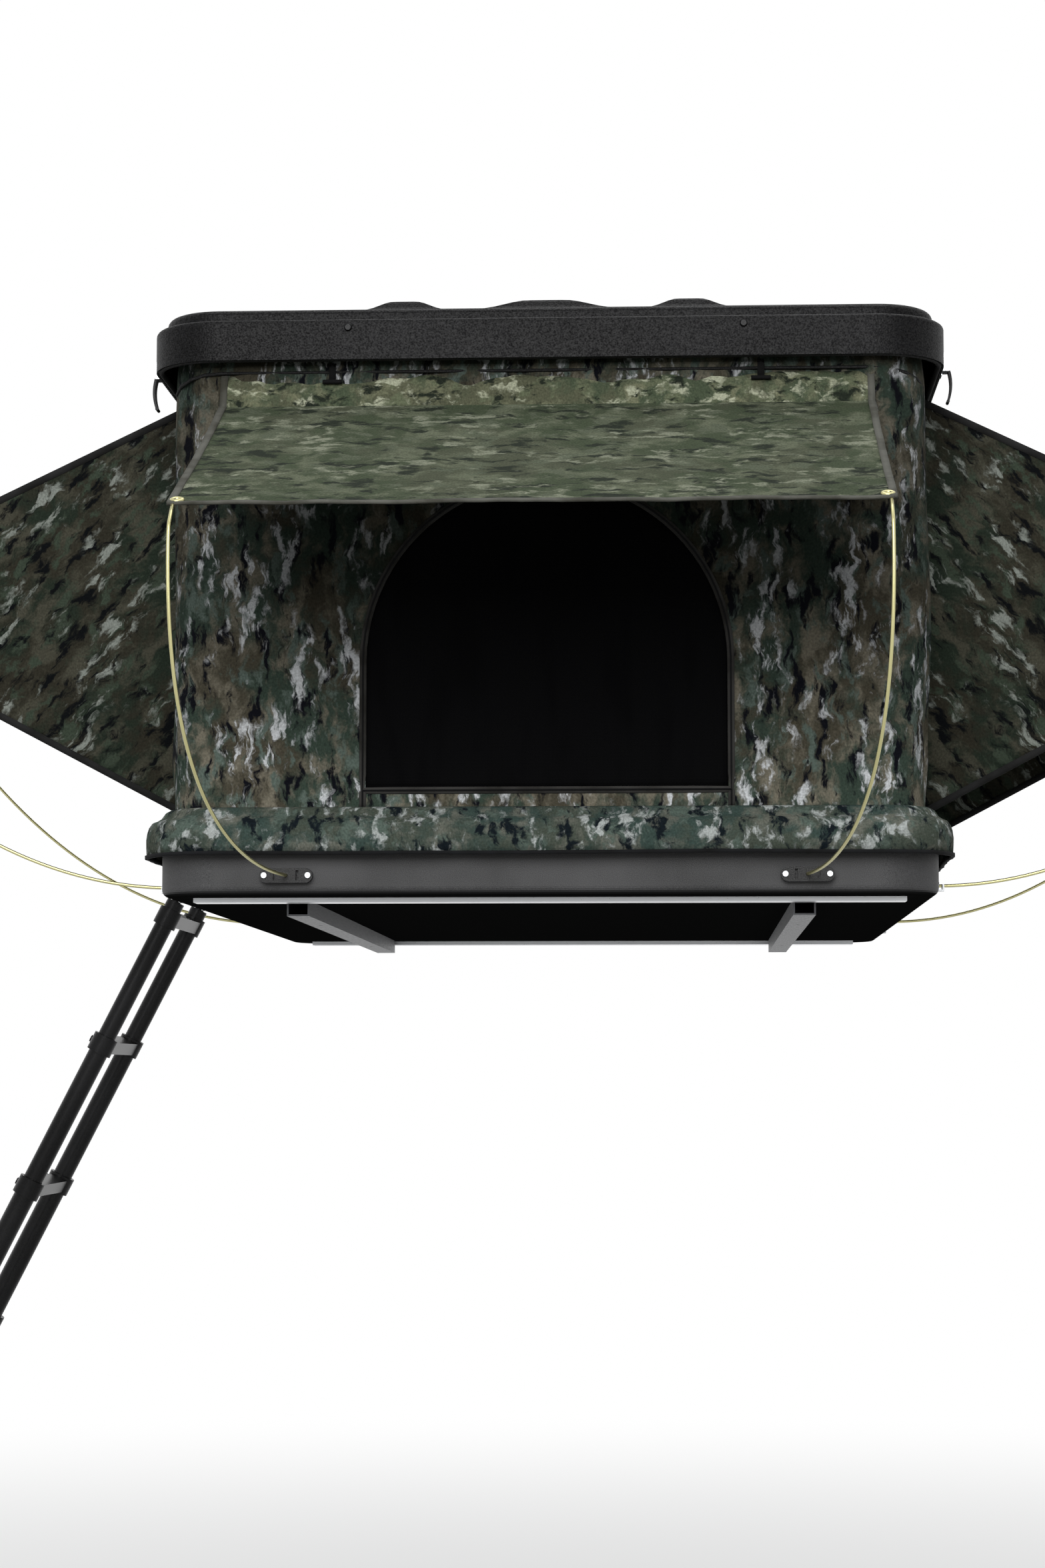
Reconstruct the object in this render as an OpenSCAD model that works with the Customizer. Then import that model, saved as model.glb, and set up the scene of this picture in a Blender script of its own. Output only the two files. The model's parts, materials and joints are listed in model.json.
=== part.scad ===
// Roof top tent: a hard shell that rises straight up on two scissor frames, with
// cloth walls, four awnings on sprung rods and a telescopic ladder.
// X runs across the vehicle, Y towards its rear and Z up. The origin is the centre
// of the roof bolt pattern, on the underside of the two mounting rails.

/* [Tray] */
// Width of the base tray
tray_w = 1362; // [1240:1:1500]
// Length of the base tray
tray_l = 2100; // [2040:1:2400]
// Height of the base tray
tray_h = 126; // [116:1:150]
// Wall of the moulded tray
tray_t = 4; // [3:0.5:6]
// Corner radius of the tray seen from above
corner_r = 105; // [90:1:140]
// Radius along the bottom edge of the tray
tray_edge_r = 14; // [8:1:20]
// Width of the rim that stands out round the tray
rim_w = 14; // [10:1:18]
// Thickness of that rim
rim_t = 5; // [4:0.5:8]

/* [Floor and mattress] */
// Thickness of the sandwich floor panel
floor_t = 18; // [12:1:24]
// Mattress width
mattress_w = 1130; // [1000:1:1140]
// Mattress length
mattress_l = 1950; // [1800:1:1960]
// Mattress thickness at its edge
mattress_t = 58; // [40:1:64]
// How far the mattress crowns above its edge
mattress_crown = 7; // [2:0.5:10]
// How far the sides of the mattress draw in between its corners
mattress_draw = 9; // [3:1:16]

/* [Mounting rails] */
// Width of a mounting rail
rail_w = 40; // [34:1:60]
// Height of a mounting rail
rail_h = 28; // [22:1:40]
// Wall of the rail extrusion
rail_t = 3; // [2:0.5:4]
// Length of a mounting rail
rail_l = 1740; // [1400:1:1760]
// Distance between the rails' centre lines
rail_gap = 900; // [700:1:1000]
// Radius of a roof bolt hole
bolt_r = 4.5; // [3.5:0.5:6]
// Distance between the roof bolts along the rails
bolt_gap = 1000; // [800:1:1200]
// Length of a cross member under the tray
cross_l = 1250; // [1100:1:1280]
// Width of a cross member
cross_w = 50; // [30:1:60]
// Thickness of a cross member
cross_t = 8; // [4:0.5:12]
// Gap between a rail's end and the cross member
cross_gap = 37; // [10:1:50]

/* [Top shell] */
// How far the shell stands out past the tray all round
shell_over = 19; // [17:1:30]
// Height of the shell from its lower edge to its flat top
shell_h = 95; // [86:1:130]
// Height of the shell's rim band
band_h = 72; // [56:1:74]
// Wall of the moulded shell
shell_t = 4; // [3:0.5:5]
// Step in from the rim band to the raised top
step_in = 20; // [14:1:22]
// Radius along the edge of the raised top
top_r = 13; // [12:1:21]
// Radius along the top of the rim band
band_r = 8; // [4:1:12]
// Height of the ribs pressed into the top
rib_h = 18; // [8:1:30]
// Width of the middle rib
rib_mid_w = 250; // [160:1:280]
// Width of a side rib
rib_side_w = 150; // [100:1:180]
// Distance of a side rib from the middle
rib_at = 250; // [225:1:320]
// Length over which a rib rises from the front and rear edges of the top
rib_end = 18; // [10:1:60]
// Thickness of the ceiling panel
headliner_t = 6; // [4:1:12]
// Section radius of the seal inside the shell's lower edge
seal_r = 5; // [3:0.5:6]
// Distance of the face screws from the middle
screw_at = 345; // [200:1:450]
// Head radius of a face screw
screw_r = 7; // [4:0.5:9]

/* [Lift] */
// How far the shell rises from closed to open
lift_travel = 795; // [700:1:860]
// Gap between the tray rim and the closed shell's edge
closed_gap = 14; // [12:1:24]
// Length of a scissor arm between its pivot and its roller
arm_l = 1700; // [1600:1:1730]
// Width of a scissor arm
arm_w = 36; // [28:1:40]
// Thickness of a scissor arm
arm_t = 6; // [4:0.5:8]
// Gap between the two arms of one scissor
arm_gap = 6; // [5.5:0.5:10]
// How far the closed scissors' middle is behind the tent's middle
arm_mid = 0; // [-20:1:20]
// Height of the arms' lower pivots above the floor
arm_rise = 88; // [80:1:92]
// Height of the arms' upper pivots above the shell's edge
arm_hang = 15; // [10:1:24]
// Pivot pin radius
pin_r = 6; // [4:0.5:8]
// Running clearance of a pin in its bore
pin_fit = 0.08; // [0.02:0.01:0.1]
// Roller radius
roller_r = 10; // [9:0.5:12]
// Roller width
roller_w = 9; // [6:0.5:12]
// Spare height in a roller track
track_play = 18; // [16:1:22]
// Wall of a roller track or bracket
track_t = 3; // [2:0.5:4]
// Distance of a track from the cloth wall
track_in = 12; // [8:1:20]

/* [Gas struts] */
// Distance of a strut's foot behind the arm pivot
strut_at = 450; // [420:1:480]
// Radius of a strut's cylinder
strut_r = 10; // [8:0.5:11]
// Radius of a strut's rod
strut_rod_r = 5; // [3:0.5:6]
// Length of a strut's cylinder from its eye
strut_l = 330; // [310:1:345]
// Radius of a strut's eye pin
strut_pin_r = 5; // [3:0.5:6]

/* [Cloth] */
// Thickness of the cloth panels
cloth_t = 2; // [1:0.5:3]
// How far the cloth walls lie inside the tray's face
wall_in = 22; // [20:1:26]
// Height of the skirt's seam above the tray rim
skirt_rise = 26; // [16:1:34]
// How far the skirt stands out past the rim
skirt_out = 13; // [10:1:18]
// How far the skirt hangs below the tray rim
skirt_drop = 59; // [50:1:80]
// Width of an end window
window_w = 630; // [500:1:700]
// Height of an end window's sill above the tray rim
window_sill = 61; // [46:1:100]
// Straight height of an end window's sides
window_side = 221; // [120:1:240]
// Width of a side door
door_w = 800; // [600:1:840]
// Height of a side door's sill above the tray rim
door_sill = 74; // [66:1:100]
// Straight height of a side door's sides
door_side = 250; // [150:1:270]
// Width of the zip tape round a window
zip_w = 10; // [6:1:16]
// Radius of the rolled door
roll_r = 15; // [10:0.5:15]
// Section radius of the tuck cord
cord_r = 3; // [2:0.5:4]
// How far the tuck cord hangs below the shell's edge along the sides
cord_drop = 58; // [50:1:80]

/* [Awnings] */
// Width of an end awning
end_flap_w = 1136; // [900:1:1150]
// Reach of an end awning
end_flap_out = 600; // [450:1:680]
// Drop of an end awning from its root to its hem
end_flap_drop = 330; // [250:1:420]
// Depth of the steep strip along an end awning's root
end_strip = 58; // [40:1:80]
// Height of an end awning's root below the shell's edge
end_flap_below = 22; // [20:1:40]
// Length of a side awning along the tent
side_flap_l = 1440; // [1250:1:1500]
// Reach of a side awning
side_flap_out = 763; // [600:1:800]
// Drop of a side awning from its root to its hem
side_flap_drop = 365; // [280:1:450]
// Height of a side awning's root below the shell's edge
side_flap_below = 8; // [6:1:16]
// Distance of an end rod's socket from the middle
end_rod_at = 449; // [350:1:500]
// Distance of a side rod's socket from the middle
side_rod_at = 690; // [600:1:720]
// Radius of a sprung rod
rod_r = 3; // [2.5:0.5:4]
// Height of the rod sockets above the tray's underside
socket_up = 33; // [28:1:40]
// Width of a rod socket
socket_w = 92; // [84:1:110]
// Height of a rod socket
socket_h = 26; // [20:1:30]
// Depth of a rod socket
socket_d = 14; // [10:1:20]
// Distance between a socket's two screws
socket_screws_gap = 76; // [70:1:80]

/* [Latches] */
// Distance of the latches from the middle of the tent
latch_y = 850; // [760:1:880]
// Width of a latch lever
latch_w = 24; // [16:1:30]
// Thickness of a latch lever
latch_t = 4; // [2.5:0.5:5]
// Length of a latch lever
latch_l = 62; // [50:1:72]
// Bow radius of a latch lever
latch_bow = 90; // [60:1:160]

/* [Ladder] */
// Lean of the ladder from the vertical
ladder_lean = 27; // [15:1:35]
// Y of the ladder's middle
ladder_y = -392; // [-430:1:0]
// Distance between the two rails
ladder_w = 296; // [260:1:360]
// Distance between rungs when pulled out
ladder_pitch = 300; // [280:1:320]
// How far one tube stays inside the next
ladder_overlap = 40; // [30:1:50]
// Radius of the top tubes
ladder_r = 17; // [14:0.5:20]
// Wall of a ladder tube
ladder_t = 1.2; // [1:0.1:1.6]
// Clearance between two sliding tubes
ladder_fit = 0.3; // [0.25:0.05:0.5]
// Depth of a rung's tread
tread_d = 34; // [28:1:40]
// Height of a rung's tread
tread_h = 24; // [18:1:30]
// Distance of the ladder's pivot from the tray's face
ladder_out = 32; // [28:1:40]
// Height of the ladder's pivot above the tray's underside
ladder_up = 30; // [29:1:36]
// Radius of a ladder pivot bolt
ladder_pin_r = 5; // [3:0.5:6]

/* [Hidden] */
$fn = 48;

// Clearance between pieces that lie side by side
gap = 0.3;
// Clearance between the flat faces of turning pieces
face_gap = 0.5;
// Spare length of a roller track beyond the roller at each end
track_spare = 30;

// Every outline seen from above shares these corner centres and differs in its radius
corner_x = tray_w / 2 - corner_r;
corner_y = tray_l / 2 - corner_r;
wall_p = corner_r - wall_in;
rim_p = corner_r + rim_w;
shell_p = corner_r + shell_over;
top_p = shell_p - step_in;
tray_x = corner_x + corner_r;
tray_y = corner_y + corner_r;
wall_x = corner_x + wall_p;
wall_y = corner_y + wall_p;
shell_x = corner_x + shell_p;
shell_y = corner_y + shell_p;

// Levels
tray_z = rail_h;
tray_top = tray_z + tray_h;
floor_z = tray_z + tray_t;
floor_top = floor_z + floor_t;
shell_z = tray_top + closed_gap + lift_travel;
band_z = shell_z + band_h;
top_z = shell_z + shell_h;
ceiling_z = top_z - shell_t - headliner_t;
frame_h = 12;
frame_z = top_z - top_r - frame_h;
seam_z = tray_top + skirt_rise;

// Scissor frames: the arms' planes from the cloth wall inwards
track_x = wall_x - cloth_t - track_in;
arm_a1 = track_x - track_t - face_gap - roller_w;
arm_a0 = arm_a1 - arm_t;
arm_b1 = arm_a0 - arm_gap;
arm_b0 = arm_b1 - arm_t;
low_z = floor_top + arm_rise;
high_z = shell_z + arm_hang;
open_angle = asin((high_z - low_z) / arm_l);
closed_angle = asin((high_z - lift_travel - low_z) / arm_l);
arm_y = arm_mid - arm_l / 2 * cos(closed_angle);
roller_open_y = arm_y + arm_l * cos(open_angle);
roller_closed_y = arm_y + arm_l * cos(closed_angle);
bracket_t = 5;
bracket_half = 22;
pin_head = 2;
boss_r = 14;

// Gas struts push on the scissors' middle pivots
strut_x = arm_b0 - strut_r - 8;
strut_y = arm_y + strut_at;
strut_half_eye = 8;
mid_y = arm_y + arm_l / 2 * cos(open_angle);
mid_z = low_z + arm_l / 2 * sin(open_angle);
strut_angle = atan2(mid_z - low_z, mid_y - strut_y);
strut_open = norm([mid_y - strut_y, mid_z - low_z]);
strut_bore_from = 110;
strut_eye_r = strut_pin_r + 4;
strut_foot = strut_eye_r + 6;
strut_flat = 2 * (strut_foot + 3);
strut_grip = 80;

// Awnings and their rods
end_root_z = shell_z - end_flap_below;
side_root_z = shell_z - side_flap_below;
socket_z = tray_z + socket_up;
rod_in = socket_d - 2;
socket_hole = rod_r + gap;
rod_lead = 16;
rod_hook = 38;

// Latches
latch_out = 14;
latch_pin_r = 2.5;
latch_z = shell_z + 20;
plate_t = 3;
ear_t = 3;
ear_gap = 1;

// Ladder
ladder_step = ladder_t + ladder_fit;
ladder_x = -(tray_x + ladder_out);
ladder_z = tray_z + ladder_up;
ladder_eye_r = 12;
ladder_eye_w = 20;
tube_from = 16;
collar_t = 5;
collar_h = 34;
boot_h = 38;
boot_grip = 25;
tube_play = 0.2;

// Colours
shell_grey = [0.13, 0.13, 0.14];
tray_black = [0.06, 0.06, 0.07];
alloy = [0.78, 0.79, 0.8];
steel = [0.55, 0.56, 0.58];
olive = [0.24, 0.27, 0.17];
flap_green = [0.36, 0.42, 0.27];
brass = [0.75, 0.56, 0.22];
black = [0.03, 0.03, 0.035];

function unit(v) = v / norm(v);
function arc(c, r, from, to, n = 6) =
    [for (i = [0 : n]) let (a = from + (to - from) * i / n) c + r * [cos(a), sin(a)]];
function smooth(t) = t * t * (3 - 2 * t);

// A strip of cloth whose inner face follows the points
function normal_at(points, i) =
    let (d = unit(points[min(i + 1, len(points) - 1)] - points[max(i - 1, 0)])) [-d[1], d[0]];
function strip(points, t) =
    concat(points, [for (i = [len(points) - 1 : -1 : 0]) points[i] + t * normal_at(points, i)]);

// Rounded outline at a radius about the shared corner centres
module outline(p) {
    square([2 * corner_x, 2 * (corner_y + p)], center = true);
    square([2 * (corner_x + p), 2 * corner_y], center = true);
    for (x = [-1, 1], y = [-1, 1]) translate([x * corner_x, y * corner_y]) circle(p);
}

module slab(p, from, to) {
    translate([0, 0, from]) linear_extrude(to - from) outline(p);
}

module ring(p_in, p_out, from, to) {
    translate([0, 0, from]) linear_extrude(to - from) difference() {
        outline(p_out);
        outline(p_in);
    }
}

// Sweeps a section, drawn as radius and height, round the shared corner centres
module sweep_round() {
    for (turn = [0 : 3]) {
        long = turn % 2 == 0;
        side = turn < 2 ? 1 : -1;
        along = long ? corner_y : corner_x;
        out = long ? corner_x : corner_y;
        rotate(turn * 90) translate([out, along, 0]) rotate_extrude(angle = 90) children();
        rotate(turn * 90) translate([out, along, 0]) rotate([90, 0, 0])
            linear_extrude(2 * along) children();
    }
}

// Places a plan of Y and Z at X = x and extrudes it t towards +X
module side_plane(x, t) {
    translate([x, 0, 0]) rotate([90, 0, 90]) linear_extrude(t) children();
}

// A round bar along X
module bar_x(x, y, z, r, l) {
    translate([x, y, z]) rotate([0, 90, 0]) cylinder(r = r, h = l);
}

// A round bar along Y, centred
module bar_y(x, y, z, r, l) {
    translate([x, y, z]) rotate([90, 0, 0]) cylinder(r = r, h = l, center = true);
}

module both_sides() {
    children();
    mirror([1, 0, 0]) children();
}

module both_ends() {
    children();
    mirror([0, 1, 0]) children();
}

// Arched window plan, its sill at the origin
module arch(w, side) {
    polygon(concat([[-w / 2, 0], [w / 2, 0]], arc([0, side], w / 2, 0, 180, 32)));
}

// Tangent of a path at one of its points
function tangent(path, i, closed) =
    let (n = len(path), a = closed ? (i + n - 1) % n : max(i - 1, 0),
        b = closed ? (i + 1) % n : min(i + 1, n - 1)) unit(path[b] - path[a]);
function tube_ring(path, i, r, sides, up, closed) =
    let (t = tangent(path, i, closed), u = unit(cross(t, up)), v = cross(u, t))
    [for (k = [0 : sides - 1]) path[i] + r * (cos(360 * k / sides) * u + sin(360 * k / sides) * v)];

// A round bar swept along a path; up is never along the path
module tube(path, r, sides, up, closed = false) {
    n = len(path);
    points = [for (i = [0 : n - 1]) each tube_ring(path, i, r, sides, up, closed)];
    walls = [
        for (i = [0 : closed ? n - 1 : n - 2], k = [0 : sides - 1], half = [0, 1])
            let (a = i * sides + k, b = i * sides + (k + 1) % sides,
                c = (i + 1) % n * sides + (k + 1) % sides, d = (i + 1) % n * sides + k)
            half == 0 ? [a, b, c] : [a, c, d]
    ];
    ends = closed ? [] : [
        [for (k = [sides - 1 : -1 : 0]) k],
        [for (k = [0 : sides - 1]) (n - 1) * sides + k]
    ];
    polyhedron(points, concat(walls, ends));
}

// Base tray: a moulded floor, a wall with a rounded foot and a rim with an inner lip
module base_tray() {
    foot = [corner_r - tray_edge_r, tray_z + tray_edge_r];
    lip_p = wall_p + gap;
    section = concat(
        arc(foot, tray_edge_r, -90, 0),
        [
            [corner_r, tray_top - rim_t], [rim_p, tray_top - rim_t], [rim_p, tray_top],
            [lip_p, tray_top], [lip_p, tray_top - rim_t], [corner_r - tray_t, tray_top - rim_t]
        ],
        arc(foot, tray_edge_r - tray_t, 0, -90)
    );
    color(tray_black) {
        sweep_round() polygon(section);
        slab(corner_r - tray_edge_r, tray_z, tray_z + tray_t);
    }
}

module floor_panel() {
    color("tan") slab(corner_r - tray_edge_r - gap, floor_z, floor_top);
}

// One level of the mattress: round corners joined by sides that draw in
function mattress_ring(inset, z) =
    let (x = mattress_w / 2 - inset, y = mattress_l / 2 - inset, r = 60,
        quarter = [[1, 1, 0], [-1, 1, 90], [-1, -1, 180], [1, -1, 270]],
        middle = [[0, y - mattress_draw], [mattress_draw - x, 0], [0, mattress_draw - y], [x - mattress_draw, 0]])
    [for (q = [0 : 3]) each concat(
        [for (p = arc([quarter[q][0] * (x - r), quarter[q][1] * (y - r)], r,
            quarter[q][2], quarter[q][2] + 90, 5)) [p[0], p[1], z]],
        [[middle[q][0], middle[q][1], z]])];

// Mattress: a crowned foam pad with drawn-in sides
crown_in = 150;
module mattress() {
    soft = [[14, 0], [3, 0.16], [0, 0.4], [0, 0.66], [5, 0.88], [16, 1]];
    rings = [for (s = soft) mattress_ring(s[0], floor_top + s[1] * mattress_t)];
    crown = mattress_ring(crown_in, floor_top + mattress_t + mattress_crown * 0.8);
    all_rings = concat(rings, [crown]);
    n = len(rings[0]);
    m = len(all_rings);
    points = concat(
        [for (level = all_rings) each level],
        [[0, 0, floor_top], [0, 0, floor_top + mattress_t + mattress_crown]]
    );
    walls = [
        for (i = [0 : m - 2], k = [0 : n - 1], half = [0, 1])
            let (a = i * n + k, b = i * n + (k + 1) % n, c = (i + 1) * n + (k + 1) % n, d = (i + 1) * n + k)
            half == 0 ? [a, c, b] : [a, d, c]
    ];
    caps = [for (k = [0 : n - 1]) each [
        [k, (k + 1) % n, m * n], [(m - 1) * n + (k + 1) % n, (m - 1) * n + k, m * n + 1]
    ]];
    color("slategray") polyhedron(points, concat(walls, caps));
}

// Mounting rails: two open-ended box extrusions with the roof bolts' holes
module mount_rails() {
    color(alloy) both_sides() difference() {
        translate([rail_gap / 2 - rail_w / 2, -rail_l / 2, 0]) cube([rail_w, rail_l, rail_h]);
        translate([rail_gap / 2 - rail_w / 2 + rail_t, -rail_l, rail_t])
            cube([rail_w - 2 * rail_t, 2 * rail_l, rail_h - 2 * rail_t]);
        for (y = [-1, 1]) translate([rail_gap / 2, y * bolt_gap / 2, -1]) cylinder(r = bolt_r, h = rail_t + 2);
    }
}

// Cross members: flat bars that stiffen the tray's underside near its ends
module cross_members() {
    color(alloy) both_ends() translate([-cross_l / 2, rail_l / 2 + cross_gap, tray_z - cross_t])
        cube([cross_l, cross_w, cross_t]);
}

// Puts a piece drawn on a face that looks towards -Y on each of the eight rod places
module at_sockets() {
    for (x = [-1, 1]) {
        translate([x * end_rod_at, -tray_y, socket_z]) children();
        translate([x * end_rod_at, tray_y, socket_z]) rotate(180) children();
        translate([-tray_x, x * side_rod_at, socket_z]) rotate(-90) children();
        translate([tray_x, x * side_rod_at, socket_z]) rotate(90) children();
    }
}

// Rod sockets: moulded blocks with a bore for the rod and two drain slots
module rod_sockets() {
    slot_w = 5;
    slot_at = 19.5;
    color(black) at_sockets() difference() {
        rotate([90, 0, 0]) linear_extrude(socket_d) {
            square([socket_w - socket_h, socket_h], center = true);
            for (x = [-1, 1]) translate([x * (socket_w - socket_h) / 2, 0]) circle(socket_h / 2);
        }
        rotate([90, 0, 0]) translate([0, 0, socket_d - rod_in]) cylinder(r = socket_hole, h = socket_d);
        for (x = [-1, 1]) translate([x * slot_at - slot_w / 2, -socket_d - 1, -socket_h / 3])
            cube([slot_w, socket_d / 2 + 1, socket_h * 2 / 3]);
    }
}

module socket_screws() {
    head_r = 5;
    head_h = 3;
    color("silver") at_sockets() for (x = [-1, 1])
        translate([x * socket_screws_gap / 2, -socket_d, 0]) rotate([90, 0, 0]) cylinder(r = head_r, h = head_h);
}

module at_latches() {
    both_ends() both_sides() translate([0, latch_y, 0]) children();
}

// Latch keepers: bent steel hooks on the tray's sides
module latch_keepers() {
    keeper_h = 48;
    hook = 16;
    t = 3;
    keeper_z = tray_z + tray_edge_r;
    section = [
        [0, 0], [hook, 0], [hook, 12], [hook - t, 12], [hook - t, t], [t, t], [t, keeper_h], [0, keeper_h]
    ];
    color(steel) at_latches() translate([tray_x, latch_w / 2, keeper_z]) rotate([90, 0, 0])
        linear_extrude(latch_w) polygon(section);
}

// Scissor pivots on the floor: a plate on each side with a headed pin through the arm
module base_arm_brackets() {
    face = arm_a1 + face_gap;
    color(steel) both_sides() {
        side_plane(face, bracket_t) {
            translate([arm_y - bracket_half, floor_top]) square([2 * bracket_half, low_z - floor_top]);
            translate([arm_y, low_z]) circle(bracket_half - 4);
        }
        translate([face, arm_y - bracket_half, floor_top]) cube([bracket_t * 3, 2 * bracket_half, bracket_t]);
        bar_x(arm_a0 - face_gap - pin_head, arm_y, low_z, pin_r, face - arm_a0 + face_gap + pin_head);
        bar_x(arm_a0 - face_gap - pin_head, arm_y, low_z, pin_r + 3, pin_head);
    }
}

// Roller track section: a web with two lips, drawn towards +X from the web's outer face
module track_section(below, above, web_low, web_high) {
    reach = track_t + face_gap + roller_w - face_gap;
    translate([0, web_low]) square([track_t, web_high - web_low]);
    translate([0, -below - track_t]) square([reach, track_t]);
    translate([0, above]) square([reach, track_t]);
}

track_y0 = roller_open_y - track_spare;
track_y1 = roller_closed_y + track_spare;

// Tracks on the floor for the shell arms' rollers
module base_tracks() {
    web_x = arm_b0 - roller_w - face_gap - track_t;
    color(alloy) both_sides() translate([web_x, track_y1, low_z]) rotate([90, 0, 0])
        linear_extrude(track_y1 - track_y0)
        track_section(roller_r + track_play, roller_r + face_gap, floor_top - low_z, roller_r + face_gap + track_t);
}

// Gas strut feet: a fork on the floor with the eye pin across it
module strut_brackets() {
    inner = strut_half_eye + face_gap;
    t = 4;
    color(steel) both_sides() {
        for (x = [-inner - t, inner]) side_plane(strut_x + x, t) {
            translate([strut_y - strut_foot, floor_top]) square([2 * strut_foot, low_z - floor_top]);
            translate([strut_y, low_z]) circle(strut_foot);
        }
        translate([strut_x - inner - t, strut_y - strut_foot, floor_top])
            cube([2 * (inner + t), 2 * strut_foot, t]);
        bar_x(strut_x - inner, strut_y, low_z, strut_pin_r, 2 * inner);
    }
}

// Skirt: cloth that leaves the wall at a seam, bulges over the rim and hangs to its hem
module skirt() {
    out_p = rim_p + skirt_out;
    over = tray_top + gap + 2;
    section = concat(
        [[wall_p + gap, seam_z], [rim_p - 20, seam_z - 7], [rim_p - 9, over + 2], [rim_p + 3, over]],
        [[out_p - 4, tray_top - 9], [out_p, tray_top - skirt_drop * 0.53], [out_p - 1.5, tray_top - skirt_drop]]
    );
    color(olive) sweep_round() polygon(strip(section, cloth_t));
}

// Cuts one window or door plan through the walls
module end_window(grow, from, to) {
    translate([0, from, tray_top + window_sill]) rotate([90, 0, 0]) translate([0, 0, -(to - from)])
        linear_extrude(to - from) offset_arch(window_w, window_side, grow);
}

module side_door(grow, from, to) {
    translate([from, 0, tray_top + door_sill]) rotate([90, 0, 90]) linear_extrude(to - from)
        offset_arch(door_w, door_side, grow);
}

module offset_arch(w, side, grow) {
    translate([0, -grow]) arch(w + 2 * grow, side + grow);
}

// Cloth walls: one sleeve with an arched window in each end and a door in each side
module tent_walls() {
    cut = cloth_t + 4;
    color(olive) difference() {
        ring(wall_p - cloth_t, wall_p, tray_top - rim_t, frame_z + frame_h);
        both_ends() end_window(0, wall_y - cut, wall_y + cut);
        both_sides() side_door(0, wall_x - cut, wall_x + cut);
    }
}

// Mesh screens zipped into both end windows and the right door
module window_screens() {
    mesh_t = cloth_t * 0.6;
    inset = cloth_t * 0.8;
    color(black) {
        both_ends() end_window(-gap, wall_y - inset, wall_y - inset + mesh_t);
        side_door(-gap, wall_x - inset, wall_x - inset + mesh_t);
    }
}

// Zip tapes: flat bands round the windows and doors that run on down to the skirt's seam
module window_zips() {
    tape_t = 1.5;
    tail = 4;
    color("dimgray") {
        both_ends() {
            difference() {
                end_window(zip_w, wall_y + gap, wall_y + gap + tape_t);
                end_window(0, wall_y, wall_y + 2 * tape_t);
            }
            for (x = [-1, 1]) translate([x * (window_w + zip_w) / 2 - zip_w / 2, wall_y + gap, seam_z + tail])
                cube([zip_w, tape_t, tray_top + window_sill - seam_z - tail]);
        }
        both_sides() difference() {
            side_door(zip_w, wall_x + gap, wall_x + gap + tape_t);
            side_door(0, wall_x, wall_x + 2 * tape_t);
        }
    }
}

// The left door's screen, rolled down along its sill
module door_roll() {
    roll_l = door_w * 0.92;
    pinch = roll_r * 0.82;
    taper = 30;
    x = -(wall_x + gap * 2 + 1.5 + roll_r);
    z = tray_top + door_sill - zip_w - roll_r - gap * 2;
    color(black) translate([x, 0, z]) rotate([90, 0, 0]) rotate_extrude() polygon([
        [0, -roll_l / 2], [pinch, -roll_l / 2], [roll_r, -roll_l / 2 + taper],
        [roll_r, roll_l / 2 - taper], [pinch, roll_l / 2], [0, roll_l / 2]
    ]);
}

// Tuck cord: an elastic loop round the walls, high across the ends and low along the sides
cord_p = wall_p + cord_r + 2 * gap;
cord_high = end_root_z + cord_r + 4;
cord_low = shell_z - cord_drop;
cord_fall = min(150, corner_y - side_flap_l / 2 - 5 * cloth_t);
// One quarter of the loop from the middle of the right side to the middle of the rear
cord_quarter = concat(
    [[corner_x + cord_p, 0, 0], [corner_x + cord_p, corner_y / 2, 0]],
    [[corner_x + cord_p, corner_y - cord_fall, 0], [corner_x + cord_p, corner_y - cord_fall / 2, 0.2]],
    [for (a = [0 : 9 : 90]) [corner_x + cord_p * cos(a), corner_y + cord_p * sin(a), 0.4 + 0.6 * a / 90]],
    [[corner_x / 2, corner_y + cord_p, 1]]
);
function cord_point(q, x, y) = [x * q[0], y * q[1], cord_low + (cord_high - cord_low) * smooth(q[2])];
cord_n = len(cord_quarter);
rear_mid = [0, corner_y + cord_p, 1];
cord_path = concat(
    [for (i = [0 : cord_n - 1]) cord_point(cord_quarter[i], 1, 1)],
    [cord_point(rear_mid, 1, 1)],
    [for (i = [cord_n - 1 : -1 : 1]) cord_point(cord_quarter[i], -1, 1)],
    [for (i = [0 : cord_n - 1]) cord_point(cord_quarter[i], -1, -1)],
    [cord_point(rear_mid, 1, -1)],
    [for (i = [cord_n - 1 : -1 : 1]) cord_point(cord_quarter[i], 1, -1)]
);

module tuck_cord() {
    color(black) tube(cord_path, cord_r, 6, [0, 0, 1], true);
}

// A rib pressed into the top: long flanks and short ends that rise in one smooth curve to a flat crest
module rib(w) {
    n = 6;
    half_l = corner_y + top_p - top_r;
    levels = concat([[0, -shell_t / 2]], [for (i = [0 : n]) [i / n, rib_h * (1 - cos(180 * i / n)) / 2]]);
    last = 4 * (len(levels) - 1);
    points = [for (v = levels, q = [[1, 1], [-1, 1], [-1, -1], [1, -1]])
        [q[0] * (w / 2 - 0.4 * w * v[0]), q[1] * (half_l - rib_end * v[0]), top_z + v[1]]];
    flanks = [
        for (i = [0 : len(levels) - 2], k = [0 : 3], half = [0, 1])
            let (a = 4 * i + k, b = 4 * i + (k + 1) % 4, c = b + 4, d = a + 4)
            half == 0 ? [a, c, b] : [a, d, c]
    ];
    caps = [[0, 1, 2], [0, 2, 3], [last + 2, last + 1, last], [last + 3, last + 2, last]];
    polyhedron(points, concat(flanks, caps));
}

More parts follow.
